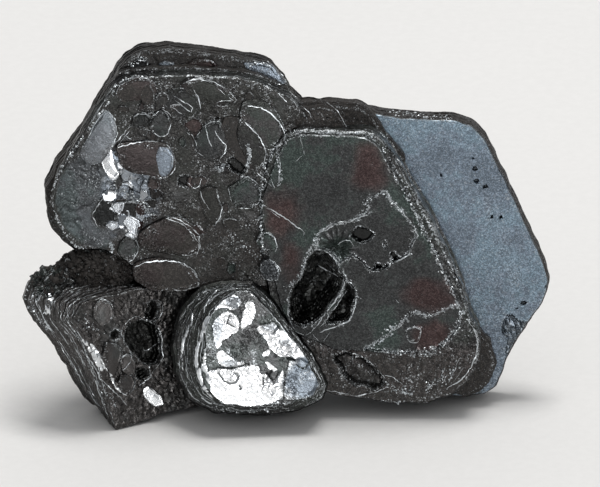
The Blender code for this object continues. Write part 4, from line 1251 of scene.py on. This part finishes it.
def press_left(plane):
    """The left crystal's front face: sandy growth ground with pits, glinting where it broke fresh."""
    zone = plane.loop(GLITTER_ZONE, 200, 0.8, 0.5, 2.0, 71)
    field_edge = plane.loop(LEFT_FIELD, 200, 0.2, 0.3, 1.0, 69)

    def press(face):
        face.z += 0.08 * face.noise(3, 72) * ease(0, 0.05, 1 - face.r)
        steps = np.floor(3 * face.noise(3.2, 73, 4)) / 3
        face.z += 0.14 * steps * ease(0, 0.04, 1 - face.r)
        low = ease(27, 23, face.y - plane.on([(-10, 0)])[0][1])
        border = face.rough(0.07, 0.4, ease(-0.2, 0.4, face.noise(2, 74)), 74)
        glint = ease(0.25, 0.6, face.noise(0.3, 75, 2))
        face.mark("dull", 0.38 + 0.3 * low * ease(-0.3, 0.3, face.noise(2.5, 76)))
        face.mark("edge", 0.3 * glint * ease(0.3, 0.8, border))
        field, _ = outline_gap(face.x, face.y, field_edge)
        field = ease(0.3, -0.5, field)
        face.mark("sand", (0.9 - 0.4 * field) * ease(-0.6, 0.1, face.noise(2.8, 70)))
        face.mark("blue", 0.12 * field)
        face.marks["dull"] *= 1 - 0.8 * field
        gap, _ = outline_gap(face.x, face.y, zone)
        bright = ease(0.3, -0.6, gap) * ease(0.0, 0.45, face.noise(0.9, 77))
        face.mark("fresh", 0.6 * bright * ease(-0.1, 0.3, face.noise(0.45, 78, 2)))
        face.mark("blue", 0.8 * ease(0.5, -0.5, gap))
        for i, (outline, depth) in enumerate(LEFT_PITS):
            gap = face.step(plane.loop(outline, 60, 0.08, 0.14, 0.5, 79 + i), -depth, 2, 0.2, bright=0.6)
            face.mark("pit", 0.9 * (gap < -0.05))
    return press


def press_lobed(plane):
    """The lobed crystal's face: mirror-bright patches left standing on dark, grainy ground."""
    def press(face):
        ground = ease(-0.4, 0.4, face.noise(2, 91))
        face.rough(0.1, 0.3, ground, 92)
        face.mark("sand", 0.25)
        face.mark("fresh", 0.045)
        face.mark("edge", 0.5 * ease(-0.1, 0.5, face.noise(1.5, 108)))
        cover = np.zeros(len(face.x))
        for i, (outline, fresh, blue) in enumerate(FRESH_AND_SHEEN_PATCHES):
            gap = face.step(plane.loop(outline, 120, 0.1, 0.2, 0.6, 93 + i), 0.12, lip=0.06, bright=0.3)
            inside = ease(0.0, -0.04, gap)
            cover = np.maximum(cover, inside)
            face.mark("fresh", fresh * inside)
            face.mark("blue", blue * inside)
        face.z += 0.03 * face.noise(1.1, 105) * cover
        face.marks["sand"] *= 1 - cover
        shade = np.zeros(len(face.x))
        wander = 0.5 * face.noise(0.9, 107, 4)
        for at, (wide, tall, amount) in zip(plane.on(BLUE_SHADES), SHADE_REACHES):
            far = np.hypot((face.x - at[0]) / wide, (face.y - at[1]) / tall)
            shade = np.maximum(shade, amount * ease(1.25, 0.6, far + wander))
        # Where the patches turn grey-blue, the painted reflection fades
        face.marks["fresh"] *= 1 - shade
        face.marks["blue"] = 0.75 * shade * cover
        for line in CURLED_CRACKS:
            gap, _ = outline_gap(face.x, face.y, plane.on(line), closed=False)
            crack = np.exp(-((gap / 0.09) ** 2))
            face.z -= 0.12 * crack
            face.marks["fresh"] *= 1 - crack
        specks = ease(0.56, 0.66, face.noise(0.45, 106)) * cover
        face.marks["fresh"] *= 1 - 0.7 * specks
    return press


def press_turned(plane):
    """The turned crystal's face: gritty, with stepped pits and glinting lumps."""
    def press(face):
        inner = ease(0, 0.05, 1 - face.r)
        face.z += 0.16 * face.noise(2.2, 111) * inner
        border = face.rough(0.1, 0.4, inner, 112)
        glint = ease(0.15, 0.55, face.noise(0.5, 113, 2))
        face.mark("dull", 0.3 * ease(-0.2, 0.4, face.noise(2, 114)))
        face.mark("edge", 0.35 * glint * border)
        face.mark("sand", 0.4 * ease(-0.5, 0.2, face.noise(1.6, 110)))
        for i, (outline, depth) in enumerate(TURNED_PITS):
            gap = face.step(plane.loop(outline, 90, 0.1, 0.2, 0.6, 115 + i), -depth, 3, 0.25, bright=0.75)
            face.mark("pit", 0.92 * (gap < -0.08))
            face.marks["dull"] *= gap > 0
    return press


def grow_right_plate():
    """The broad plate at the right: one thick layered crystal with both faces finished."""
    shell, plane = Shell(), facing(14, 18, 0, 8, 0)
    loop = plane.loop(RIGHT_FACE, 8 * 84, 0.3, 0.12, 1.5, 10)
    wall = side_wall(loop, 3.2, 0.18, 9, 0.14, 16, 0.1)
    crystal(shell, plane, loop, wall, press_right(plane), {}, growth_back(17), worn=0.8)
    return shell


def grow_ledges():
    """The two dull stepped ledges behind the front plate."""
    shell = Shell()
    for outline, spot, thick, rings, seed in (
        (LOWER_LEDGE, (12, 18, 1.9, 8, 1), 2.5, 66, 25), (UPPER_LEDGE, (4, 30, 3.2, 9, 3), 2.2, 40, 26),
    ):
        plane = facing(*spot)
        loop = plane.loop(outline, 8 * rings, 0.3, 0.3, 1.2, seed)
        loop = loop - outward(loop) * 0.5
        wall = side_wall(loop, thick, 0.12, 8, 0.12, seed, 0.5)
        crystal(shell, plane, loop, wall, press_ledge(seed, 0.12), {"dull": 0.8}, rim=0.4)
    return shell


def grow_front_plate():
    """The front plate: its thick rim layer and the smooth face on it."""
    shell = Shell()
    rim = facing(9, 17, 4.4, 8, -1)
    loop = rim.loop(FRONT_RIM, 8 * 66, 0.3, 0.2, 1.2, 20)
    wall = side_wall(loop, 4.4, 0.2, 12, 0.14, 24, 0.15)
    crystal(shell, rim, loop, wall, press_rim(rim), {"dull": 0.3})
    plane = facing(9, 17, 5.0, 8.5, -1.5)
    loop = plane.loop(FRONT_FACE, 8 * 104, 0.25, 0.16, 0.9, 50)
    wall = side_wall(loop, 0.9, 0.1, 3, 0.06, 68)
    wall += [(wider(loop, -0.35), -1.0, 0.0), (wider(loop, -0.4), -3.2, 0.0)]
    crystal(shell, plane, loop, wall, press_front(plane), {})
    grow_scales(shell, plane, FRONT_SCALES.values(), 11, 69)
    return shell


def grow_left_crystal():
    """The three thick layers of the left crystal."""
    shell, plane = Shell(), facing(*LEFT_PLANE)
    rear = plane.behind(LEFT_BACK_DEPTH)
    loop = rear.loop(LEFT_BACK, 8 * 54, 0.35, 0.25, 1.4, 31)
    wall = side_wall(loop, 4.3, 0.25, 13, 0.16, 32, 0.0)
    crystal(shell, rear, loop, wall, press_ledge(33, 0.12), {"dull": 0.6}, growth_back(34), rim=0.35)
    middle = plane.behind(1.8)
    loop = middle.loop(LEFT_MIDDLE, 8 * 42, 0.3, 0.25, 1.2, 35)
    wall = side_wall(loop, 2.2, 0.15, 7, 0.14, 36)
    crystal(shell, middle, loop, wall, press_ledge(37, 0.1), {"dull": 0.6}, rim=0.35)
    loop = plane.loop(LEFT_FRONT, 8 * 100, 0.25, 0.25, 1.0, 38)
    wall = side_wall(loop, 2.4, 0.15, 7, 0.12, 39, 0.1)
    crystal(shell, plane, loop, wall, press_left(plane), {"dull": 0.1}, rim=0.5)
    return shell


def grow_left_scales():
    """The growth scales of the left crystal: the ones that can be told apart, small ones between them
    and raised hair lines."""
    shell, plane = Shell(), facing(*LEFT_PLANE)
    grow_scales(shell, plane, LEFT_SCALES.values(), 15, 200)
    grow_scales(shell, plane.behind(LEFT_BACK_DEPTH), LEDGE_SCALES.values(), 11, 300)

    def dark(rng):
        return {"dull": rng.uniform(0, 0.7), "red": rng.random() ** 2}

    # Scales painted as glints: bright and blue-grey
    def glinting(rng):
        return {"fresh": 0.7 * rng.random() ** 2, "blue": rng.uniform(0.3, 1)}

    grow_scales(shell, plane, random_scales(SCATTER_GROUND, 46, 0.9, 2.6, 401, dark), 7, 400)
    grow_scales(shell, plane, random_scales(GLITTER_ZONE, 34, 0.6, 1.6, 402, glinting), 6, 500)
    return shell


def grow_lobed_crystal():
    """The lobed crystal: a face with mirror patches on a side of thirteen fine growth steps."""
    shell, plane = Shell(), facing(-4, 7, 9.0, 11, 5)
    loop, levels = terraced(plane, LOBED_BASE, LOBED_FACE, 13, 3.6, 8 * 76, 120)
    levels += [(line, z - 4.0, 0.0) for line, z, _ in levels[-1:]]
    crystal(shell, plane, loop, levels, press_lobed(plane), {})
    return shell


def grow_turned_crystal():
    """The crystal at the lower left that is turned away: a gritty face on a side of wavy steps."""
    shell, plane = Shell(), facing(-16.5, 7, 5.4, 9, 28)
    loop, levels = terraced(plane, TURNED_BASE, TURNED_FACE, 15, 5.2, 8 * 76, 140)
    crystal(shell, plane, loop, levels, press_turned(plane), {"dull": 0.2})
    grow_scales(shell, plane, TURNED_SCALES.values(), 11, 160)
    return shell


def grow_rough_ground():
    """The rough brown body behind the crystals, its pocket at the left and the crumbled corner."""
    shell = Shell()
    earth = {"dull": 1.0}
    grow_lump(shell, growth_point(*CORE[0]), np.array(CORE[1]), 0.9, 1.1, 171, earth)
    # The crumbled corner painted with glints
    glinting = {"sand": 0.7, "edge": 0.3}
    for (middle, reach), rows, seed, count, marks in (
        (POCKET, 60, 172, 1500, earth), (CRUMBLED_CORNER, 40, 173, 260, glinting),
    ):
        reach = np.array(reach)
        grow_lump(shell, growth_point(*middle), reach * 0.94, 0.5, 0.5, seed, marks, rows)
        rng = np.random.default_rng(seed)
        sizes = 0.16 + 0.42 * rng.random(count) ** 3
        # A few grains painted as glints
        glint = (rng.random(count) < 0.07) * 0.8
        centres = ball_points(middle, reach * 0.93, count, seed)
        grow_grains(shell, centres, sizes, seed, {"dull": 1 - glint, "edge": glint})
    return shell


def grow_back_crystals():
    """The crystals that face the other way, with growth scales on them."""
    shell = Shell()

    def worn(rng):
        marks = {"red": rng.random() ** 2, "blue": 0.3 * rng.random(), "dull": 0.6 * rng.random()}
        return dict(marks, sand=0.3)

    for outline, spot, thick, rings, seed in (
        (BACK_FOOT, (-9, 17, -8.6, 12, 176), 3.4, 62, 181),
        (BACK_RIGHT, (12, 18, -6.2, 3, 186), 3.8, 52, 182),
        (BACK_SMALL, (-2, 29, -6.4, -2, 172), 4.0, 40, 183),
    ):
        plane = facing(*spot)
        loop = plane.loop(outline, 8 * rings, 0.4, 0.3, 1.3, seed)
        wall = side_wall(loop, thick, 0.2, 10, 0.16, seed, 0.0)
        crystal(shell, plane, loop, wall, growth_back(seed), {"dull": 0.1})
        area = np.mean(outline, axis=0) + 0.8 * (np.asarray(outline) - np.mean(outline, axis=0))
        scales = random_scales(area, 12, 1.4, 5.5, seed + 5, worn)
        grow_scales(shell, plane, scales, 11, seed + 20)
    return shell


def add_node(tree, kind, inputs=None, **settings):
    """A shader node with its settings, and its inputs given as plain values or as outputs to link."""
    node = tree.nodes.new(kind)
    for key, value in settings.items():
        setattr(node, key, value)
    for key, value in (inputs or {}).items():
        if isinstance(value, bpy.types.NodeSocket):
            tree.links.new(value, node.inputs[key])
        else:
            node.inputs[key].default_value = value
    return node


def noise_node(tree, vector, scale, detail, rough=0.55):
    return add_node(
        tree, "ShaderNodeTexNoise", {"Vector": vector, "Scale": scale, "Detail": detail, "Roughness": rough}
    ).outputs[0]


def ramp(tree, value, low, high, to_low=0.0, to_high=1.0):
    """The value's part between low and high, eased, and spread from to_low to to_high."""
    keys = {"Value": value, "From Min": low, "From Max": high, "To Min": to_low, "To Max": to_high}
    return add_node(tree, "ShaderNodeMapRange", keys, interpolation_type="SMOOTHSTEP").outputs[0]


def sums(tree, kind, a, b, clamp=False):
    return add_node(tree, "ShaderNodeMath", {0: a, 1: b}, operation=kind, use_clamp=clamp).outputs[0]


def times(tree, a, b):
    return sums(tree, "MULTIPLY", a, b)


def plus(tree, a, b, clamp=False):
    return sums(tree, "ADD", a, b, clamp)


def grey_of(tree, value):
    """The value as a colour of equal parts."""
    return add_node(tree, "ShaderNodeCombineColor", {0: value, 1: value, 2: value}).outputs[0]


def random_cells(tree, vector, scale):
    """Three random numbers for each crystal grain, as outputs: the colour of a Voronoi cell."""
    keys = {"Vector": vector, "Scale": scale, "Randomness": 1.0}
    cells = add_node(tree, "ShaderNodeTexVoronoi", keys, feature="F1")
    return add_node(tree, "ShaderNodeSeparateColor", {0: cells.outputs["Color"]}).outputs


def blend_colour(tree, share, a, b, kind="MIX"):
    """Colour a turned towards b by this share."""
    keys = {0: share, 6: a, 7: b}
    return add_node(tree, "ShaderNodeMix", keys, data_type="RGBA", blend_type=kind).outputs[2]


def blend_value(tree, share, a, b):
    return add_node(tree, "ShaderNodeMix", {0: share, 2: a, 3: b}).outputs[0]


def in_millimetres(tree, vector):
    keys = {0: vector, 1: (1 / MM,) * 3}
    return add_node(tree, "ShaderNodeVectorMath", keys, operation="MULTIPLY").outputs[0]


def rgb(colour):
    return (*colour, 1.0)


def new_group(name, inputs, outputs):
    """An empty shader node group with these (name, socket type, default) inputs and outputs."""
    tree = bpy.data.node_groups.new(name, "ShaderNodeTree")
    for key, kind, default in inputs:
        socket = tree.interface.new_socket(key, in_out="INPUT", socket_type="NodeSocket" + kind)
        if default is not None:
            socket.default_value = default
    for key, kind in outputs:
        tree.interface.new_socket(key, in_out="OUTPUT", socket_type="NodeSocket" + kind)
    return tree, tree.nodes.new("NodeGroupInput").outputs, tree.nodes.new("NodeGroupOutput").inputs


def growth_grain_group():
    """Broad tone, and the surface height of grown hematite, in mm of Object space."""
    tree, given, put = new_group(
        "growth_grain", [("Vector", "Vector", None), ("Grit", "Float", 0.5)],
        [("Tone", "Float"), ("Height", "Float"), ("Speck", "Float")],
    )
    mm = in_millimetres(tree, given["Vector"])
    shade = random_cells(tree, mm, 8.5)[0]
    lit = times(tree, times(tree, shade, shade), 1.7)
    tree.links.new(plus(tree, lit, 0.4), put["Speck"])
    broad = noise_node(tree, mm, 0.16, 4)
    middle = noise_node(tree, mm, 0.9, 5, 0.6)
    tone = plus(tree, broad, times(tree, middle, 0.5))
    tree.links.new(ramp(tree, tone, 0.55, 0.95), put["Tone"])
    fine = noise_node(tree, mm, 5.0, 6, 0.62)
    grit = times(tree, times(tree, fine, given["Grit"]), 2.0)
    tree.links.new(plus(tree, times(tree, middle, 0.5), grit), put["Height"])
    return tree


def glitter_group():
    """Fine crystal grains of which a share glints: the share grows with the edge and sand marks, and
    each grain's own random number says whether it is among them."""
    tree, given, put = new_group(
        "glitter",
        [("Vector", "Vector", None), ("Edge", "Float", 0.0), ("Sand", "Float", 0.0), ("Base", "Float", 0.0),
         ("Pit shade", "Float", 0.0)],
        [("Mask", "Float"), ("Facet", "Float")],
    )
    mm = in_millimetres(tree, given["Vector"])
    masks, shades = [], []
    for scale in (7.0, 11.0):
        parts = random_cells(tree, mm, scale)
        masks.append(parts[0])
        shades.append(ramp(tree, parts[1], 0.0, 1.0, 0.2, 1.0))
    worn = ramp(tree, noise_node(tree, mm, 0.8, 3), 0.36, 0.62, 0.25, 1.0)
    share = times(tree, times(tree, given["Edge"], 0.85), worn)
    patchy = ramp(tree, noise_node(tree, mm, 0.55, 3), 0.3, 0.7, 0.02, 0.14)
    sandy = times(tree, given["Sand"], patchy)
    share = plus(tree, plus(tree, share, sandy), given["Base"], clamp=True)
    limit = sums(tree, "SUBTRACT", 1.0, share)
    coarse = ramp(tree, sums(tree, "SUBTRACT", masks[0], limit), 0.0, 0.12)
    fine = ramp(tree, sums(tree, "SUBTRACT", masks[1], limit), 0.0, 0.12)
    coarse = times(tree, coarse, times(tree, shades[0], 0.8))
    both = sums(tree, "MAXIMUM", coarse, times(tree, fine, shades[1]))
    # Pits, painted as shade, lose their painted glints
    clear = sums(tree, "SUBTRACT", 1.0, times(tree, given["Pit shade"], 0.85))
    tree.links.new(times(tree, both, clear), put["Mask"])
    tree.links.new(plus(tree, masks[0], masks[1]), put["Facet"])
    return tree


def tarnish_group():
    """The dark metal's colour: a green-grey and a reddish tarnish over its own, each by its share."""
    tree, given, put = new_group(
        "tarnish_and_reflection",
        [("Metal", "Color", (0.1, 0.1, 0.1, 1)), ("Green", "Color", (0.1, 0.1, 0.1, 1)),
         ("Red", "Color", (0.1, 0.1, 0.1, 1)), ("Blue", "Color", (0.1, 0.1, 0.1, 1)),
         ("Tone", "Float", 0.5), ("Mottle", "Float", 1.0), ("Red share", "Float", 0.0),
         ("Blue share", "Float", 0.0)],
        [("Color", "Color")],
    )
    colour = blend_colour(tree, ramp(tree, given["Tone"], 0.35, 0.9), given["Metal"], given["Green"])
    colour = blend_colour(tree, times(tree, given["Red share"], 0.85), colour, given["Red"])
    colour = blend_colour(tree, given["Blue share"], colour, given["Blue"])
    shade = blend_value(tree, given["Mottle"], 1.0, ramp(tree, given["Tone"], 0.0, 1.0, 0.82, 1.15))
    tree.links.new(blend_colour(tree, 1.0, colour, grey_of(tree, shade), "MULTIPLY"), put["Color"])
    return tree


def group_of(name, maker):
    return bpy.data.node_groups.get(name) or maker()


def hematite(name, metal, green, grit=0.5, sparkle=0.02, glow=0.9, shine=0.27, bump=0.35, speckled=0.12,
             mottle=1.0, tint=1.0):
    """Grown hematite: dark tarnished metal, bright broken rims, mirror-fresh patches, brown earth in
    the dull places and near-black pits, all of them following the mesh's marks."""
    tints = bpy.context.scene.hematite_colours
    material = bpy.data.materials.new(name)
    material.use_nodes = True
    tree = material.node_tree
    shader = tree.nodes["Principled BSDF"]
    at = add_node(tree, "ShaderNodeTexCoord").outputs["Object"]
    nodes = {mark: add_node(tree, "ShaderNodeAttribute", attribute_name=mark) for mark in MARKS}
    marks = {mark: node.outputs["Fac"] for mark, node in nodes.items()}

    def place(group, inputs):
        return add_node(tree, "ShaderNodeGroup", inputs, node_tree=group).outputs

    grain = place(group_of("growth_grain", growth_grain_group), {"Vector": at, "Grit": grit})
    glitter = place(group_of("glitter", glitter_group), {
        "Vector": at, "Edge": marks["edge"], "Sand": marks["sand"], "Base": sparkle,
        "Pit shade": marks["pit"],
    })
    colour = place(group_of("tarnish_and_reflection", tarnish_group), {
        "Metal": rgb(metal * tint), "Green": rgb(green * tint), "Red": rgb(np.array(tints.red) * tint),
        "Blue": rgb(tints.blue), "Mottle": mottle, "Tone": grain["Tone"],
        "Red share": marks["red"], "Blue share": marks["blue"],
    })["Color"]
    colour = blend_colour(tree, times(tree, marks["sand"], 0.6), colour, rgb(tints.sand))
    earth = plus(tree, marks["dull"], times(tree, grain["Tone"], 0.3))
    earth = ramp(tree, earth, 0.25, 1.0)
    colour = blend_colour(tree, earth, colour, rgb(tints.earth))
    sandy = plus(tree, times(tree, marks["sand"], 0.9), times(tree, earth, 0.5))
    sandy = plus(tree, sandy, speckled, clamp=True)
    speck = blend_value(tree, sandy, 1.0, grain["Speck"])
    colour = blend_colour(tree, 1.0, colour, grey_of(tree, speck), "MULTIPLY")
    # Painted shade: pits and hollows turned near-black
    colour = blend_colour(tree, marks["pit"], colour, rgb(tints.pit))
    # Painted glints: the glinting grains turned to the rim colour
    colour = blend_colour(tree, times(tree, glitter["Mask"], glow), colour, rgb(tints.rim))
    # Painted reflection: the fresh patches turned mirror-bright
    colour = blend_colour(tree, marks["fresh"], colour, rgb(tints.fresh))
    tree.links.new(colour, shader.inputs["Base Color"])
    rough = ramp(tree, grain["Tone"], 0.0, 1.0, shine, shine + 0.12)
    rough = blend_value(tree, earth, rough, 0.6)
    rough = blend_value(tree, marks["fresh"], rough, 0.16)
    tree.links.new(rough, shader.inputs["Roughness"])
    metallic = sums(tree, "MAXIMUM", ramp(tree, earth, 0.0, 1.0, 1.0, 0.35), glitter["Mask"])
    tree.links.new(metallic, shader.inputs["Metallic"])
    smooth = sums(tree, "SUBTRACT", 1.0, times(tree, marks["fresh"], 0.8))
    rubble = times(tree, glitter["Facet"], sums(tree, "MAXIMUM", marks["sand"], marks["edge"]))
    height = plus(tree, grain["Height"], times(tree, rubble, 0.5))
    height = times(tree, height, smooth)
    relief = add_node(tree, "ShaderNodeBump", {"Height": height, "Strength": bump, "Distance": 0.0001})
    tree.links.new(relief.outputs[0], shader.inputs["Normal"])
    return material


def colour_property(label, text, colour):
    """A linear colour that a user may change."""
    return bpy.props.FloatVectorProperty(
        name=label, description=text, subtype="COLOR", size=3, min=0, max=1, default=colour)


class HematiteColours(bpy.types.PropertyGroup):
    """The finishes that the crystals are mixed from, as linear colours."""

    # Lighter than the dark metal, partly a painted reflection of the light the plate turns to
    plate: colour_property("Plate", "The blue-grey metal of the right-hand plate", (0.122, 0.150, 0.184))
    dark: colour_property(
        "Dark metal", "The darker metal of the front and left crystals", (0.044, 0.0455, 0.046))
    # Painted reflection: the greenish grey that the dark faces mirror, laid over the metal as a tint
    green: colour_property(
        "Green tarnish", "The greenish tarnish over the dark metal", (0.036, 0.045, 0.042))
    # Partly reddish tarnish, partly a painted reflection of the room
    red: colour_property("Red tarnish", "The reddish tarnish over the dark metal", (0.056, 0.037, 0.036))
    blue: colour_property("Blue tarnish", "The blue-grey of the lighter facets", (0.195, 0.226, 0.265))
    # Painted glints: the pale colour of glinting rims, lines and grains
    rim: colour_property("Rims", "Broken rims and glinting specks", (0.5, 0.53, 0.55))
    # Painted reflection: the near-white of the mirror-bright patches
    fresh: colour_property("Fresh faces", "Mirror-bright patches", (0.9, 0.92, 0.94))
    earth: colour_property("Earth", "The brown of dull ledges and pockets", (0.027, 0.023, 0.0205))
    sand: colour_property("Sandy ground", "The dark ground between glinting grains", (0.03, 0.029, 0.028))
    # Painted shade: the near-black of pits and hollows
    pit: colour_property("Pits", "The near-black inside pits", (0.018, 0.0185, 0.018))


class StudioLight(bpy.types.PropertyGroup):
    """The table and its soft light."""

    table: colour_property("Table", "The pale table under the specimen", (0.79, 0.785, 0.775))
    overhead: bpy.props.FloatProperty(
        name="Overhead light", description="Power of the large soft light above, in watts",
        default=3.35, min=0, unit="POWER")
    front: bpy.props.FloatProperty(
        name="Front light", description="Power of the low light in front at the right, in watts",
        default=1.2, min=0, unit="POWER")
    sky: bpy.props.FloatProperty(
        name="Room light", description="How bright the room around is", default=0.55, min=0)
    distance: bpy.props.FloatProperty(
        name="Camera distance", description="From the camera to the specimen",
        default=1.5, min=0.2, unit="LENGTH")
    elevation: bpy.props.FloatProperty(
        name="Camera elevation", description="The camera's angle above the table",
        default=VIEW_ELEVATION, subtype="ANGLE")


def crystal_operator(grow, label, finish):
    """An operator that grows the piece that its function is named after, and gives it its material."""
    key = grow.__name__.removeprefix("grow_")

    def execute(self, context):
        shell = grow()
        if not shell.count:
            raise RuntimeError(f"{key} has no surface")
        colours = context.scene.hematite_colours
        shell.piece(key, hematite(key + "_finish", **finish(colours)))
        return {"FINISHED"}

    names = {
        "__doc__": grow.__doc__, "bl_idname": "specimen." + key, "bl_label": label,
        "bl_options": {"REGISTER", "UNDO"}, "execute": execute,
    }
    return type("SPECIMEN_OT_" + key, (bpy.types.Operator,), names)


def plate_finish(colours):
    light = np.array(colours.plate)
    return {
        "metal": light, "green": light * (0.92, 1.0, 0.99), "grit": 0.2, "sparkle": 0.1, "glow": 0.35,
        "shine": 0.24, "bump": 0.12, "speckled": 0.58, "mottle": 0.4,
    }


def dark_finish(colours, **settings):
    """The dark metal and its green tarnish, with these settings of hematite()."""
    return dict(settings, metal=np.array(colours.dark), green=np.array(colours.green))


def smooth_finish(colours):
    return dark_finish(colours, grit=0.25, sparkle=0.03, shine=0.25, bump=0.25, speckled=0.6, mottle=0.8)


def scale_finish(colours):
    return dark_finish(colours, grit=0.5, shine=0.26, bump=0.35)


def thin_scale_finish(colours):
    return dict(scale_finish(colours), tint=0.6, speckled=0.4)


def turned_finish(colours):
    dark = np.array(colours.dark)
    return dict(scale_finish(colours), metal=dark * (1.8, 1.65, 1.6), green=dark * (1.5, 1.48, 1.45))


# Hair lines and glitter grains take the pale rim colour: painted glints
def line_finish(colours):
    rim = np.array(colours.rim)
    return {"metal": rim, "green": rim, "grit": 0.2, "sparkle": 0.1, "shine": 0.3, "bump": 0.1}


def rough_finish(colours):
    return dark_finish(colours, grit=0.75, shine=0.3, bump=0.6)


CRYSTALS = [crystal_operator(grow, label, finish) for grow, label, finish in (
    (grow_right_plate, "Grow the right plate", plate_finish),
    (grow_ledges, "Grow the ledges", rough_finish),
    (grow_front_plate, "Grow the front plate", smooth_finish),
    (grow_left_crystal, "Grow the left crystal", scale_finish),
    (grow_left_scales, "Grow the left scales", thin_scale_finish),
    (grow_lobed_crystal, "Grow the lobed crystal", scale_finish),
    (grow_turned_crystal, "Grow the turned crystal", turned_finish),
    (grow_rough_ground, "Grow the rough ground", rough_finish),
    (grow_growth_lines, "Lay the hair lines", line_finish),
    (grow_glitter_bands, "Strew the glitter", line_finish),
    (grow_back_crystals, "Grow the back crystals", scale_finish),
)]


class SPECIMEN_OT_stage(bpy.types.Operator):
    """Lays the pale table and sets the soft light and the camera"""

    bl_idname = "specimen.stage"
    bl_label = "Set the stage"

    def execute(self, context):
        studio = context.scene.specimen_studio
        lay_table(studio)
        light_room(context.scene, studio)
        stand_camera(context.scene, studio)
        return {"FINISHED"}


def lay_table(studio):
    """A wide flat table of faintly mottled pale paper."""
    half, count = 4.0, 3
    line = np.linspace(-half, half, count)
    x, y = np.meshgrid(line, line, indexing="ij")
    points = np.stack([x.ravel(), y.ravel(), np.full(count**2, -0.00002)], 1)
    index = np.arange(count**2).reshape(count, count)
    quads = np.stack([index[:-1, :-1], index[1:, :-1], index[1:, 1:], index[:-1, 1:]], -1).reshape(-1, 4)
    mesh = bpy.data.meshes.new("table")
    mesh.from_pydata(points.tolist(), [], quads.tolist())
    table = bpy.data.objects.new("table", mesh)
    bpy.context.scene.collection.objects.link(table)
    material = bpy.data.materials.new("pale_paper")
    material.use_nodes = True
    tree = material.node_tree
    shader = tree.nodes["Principled BSDF"]
    at = add_node(tree, "ShaderNodeTexCoord").outputs["Object"]
    fleck = noise_node(tree, at, 900.0, 4, 0.6)
    colour = blend_colour(
        tree, ramp(tree, fleck, 0.3, 0.75), rgb([0.97 * part for part in studio.table]), rgb(studio.table)
    )
    tree.links.new(colour, shader.inputs["Base Color"])
    relief = add_node(tree, "ShaderNodeBump", {"Height": fleck, "Strength": 0.12, "Distance": 0.0002})
    tree.links.new(relief.outputs[0], shader.inputs["Normal"])
    shader.inputs["Roughness"].default_value = 0.8
    mesh.materials.append(material)


def add_light(name, place, aim, size, power, colour):
    lamp = bpy.data.lights.new(name, "AREA")
    lamp.shape = "RECTANGLE"
    lamp.size, lamp.size_y = size
    lamp.energy = power
    lamp.color = colour
    obj = bpy.data.objects.new(name, lamp)
    obj.location = place
    obj.rotation_euler = (Vector(aim) - Vector(place)).to_track_quat("-Z", "Y").to_euler()
    obj.visible_camera = False
    bpy.context.scene.collection.objects.link(obj)
    return obj


def light_room(scene, studio):
    """A pale room that darkens towards its horizon, a large soft light above, a little behind and to
    the right, and a low one in front at the right that the fresh faces mirror."""
    add_light("overhead", (0.06, 0.11, 0.72), (0, 0, 0.02), (0.3, 0.24), studio.overhead, (1.0, 0.99, 0.975))
    front = add_light("front", (0.16, -0.55, 0.1), (0, 0, 0.015), (0.3, 0.12), studio.front, (1.0, 1.0, 1.0))
    front.visible_diffuse = False
    world = bpy.data.worlds.new("room")
    world.use_nodes = True
    tree = world.node_tree
    tree.nodes.clear()
    way = add_node(tree, "ShaderNodeTexCoord").outputs["Generated"]
    way = add_node(tree, "ShaderNodeSeparateXYZ", {0: way}).outputs[2]
    sky = blend_colour(tree, ramp(tree, way, -0.05, 0.75), (0.3, 0.32, 0.35, 1), (1.0, 1.0, 1.0, 1))
    room = add_node(tree, "ShaderNodeBackground", {0: sky, 1: studio.sky})
    wall = add_node(tree, "ShaderNodeBackground", {0: (0.8, 0.8, 0.81, 1), 1: 1.0})
    direct = add_node(tree, "ShaderNodeLightPath").outputs["Is Camera Ray"]
    mixed = add_node(tree, "ShaderNodeMixShader", {0: direct, 1: room.outputs[0], 2: wall.outputs[0]})
    add_node(tree, "ShaderNodeOutputWorld", {0: mixed.outputs[0]})
    scene.world = world
    scene.view_settings.view_transform = "Standard"


def stand_camera(scene, studio):
    """A long lens at the photograph's angle: at its distance the picture takes in
    frame_width mm across, around this seen middle."""
    frame_width, middle = 69.12, (1.325, 19.53)
    way = np.array((0, -math.cos(studio.elevation), math.sin(studio.elevation)))
    aim = (ACROSS * middle[0] + UP_SEEN * middle[1] - MIDDLE) * MM
    camera = bpy.data.cameras.new("camera")
    camera.sensor_width = 36.0
    camera.lens = 36.0 * studio.distance / (frame_width * MM)
    camera.clip_start, camera.clip_end = 0.05, 20.0
    obj = bpy.data.objects.new("camera", camera)
    obj.location = aim + way * studio.distance
    obj.rotation_euler = Vector(-way).to_track_quat("-Z", "Y").to_euler()
    scene.collection.objects.link(obj)
    scene.camera = obj


class SPECIMEN_PT_panel(bpy.types.Panel):
    """Grows the specimen piece by piece and sets its colours and light"""

    bl_idname = "SPECIMEN_PT_panel"
    bl_label = "Hematite specimen"
    bl_space_type = "VIEW_3D"
    bl_region_type = "UI"
    bl_category = "Specimen"

    def draw(self, context):
        for kind in CRYSTALS + [SPECIMEN_OT_stage]:
            self.layout.operator(kind.bl_idname)
        for group in (context.scene.hematite_colours, context.scene.specimen_studio):
            for key in group.__annotations__:
                self.layout.prop(group, key)


CLASSES = [HematiteColours, StudioLight, *CRYSTALS, SPECIMEN_OT_stage, SPECIMEN_PT_panel]


def register():
    for kind in CLASSES:
        bpy.utils.register_class(kind)
    bpy.types.Scene.hematite_colours = bpy.props.PointerProperty(type=HematiteColours)
    bpy.types.Scene.specimen_studio = bpy.props.PointerProperty(type=StudioLight)


def unregister():
    del bpy.types.Scene.specimen_studio
    del bpy.types.Scene.hematite_colours
    for kind in reversed(CLASSES):
        bpy.utils.unregister_class(kind)


def main():
    register()
    for kind in CRYSTALS + [SPECIMEN_OT_stage]:
        group, name = kind.bl_idname.split(".")
        getattr(getattr(bpy.ops, group), name)()


if __name__ == "__main__":
    main()
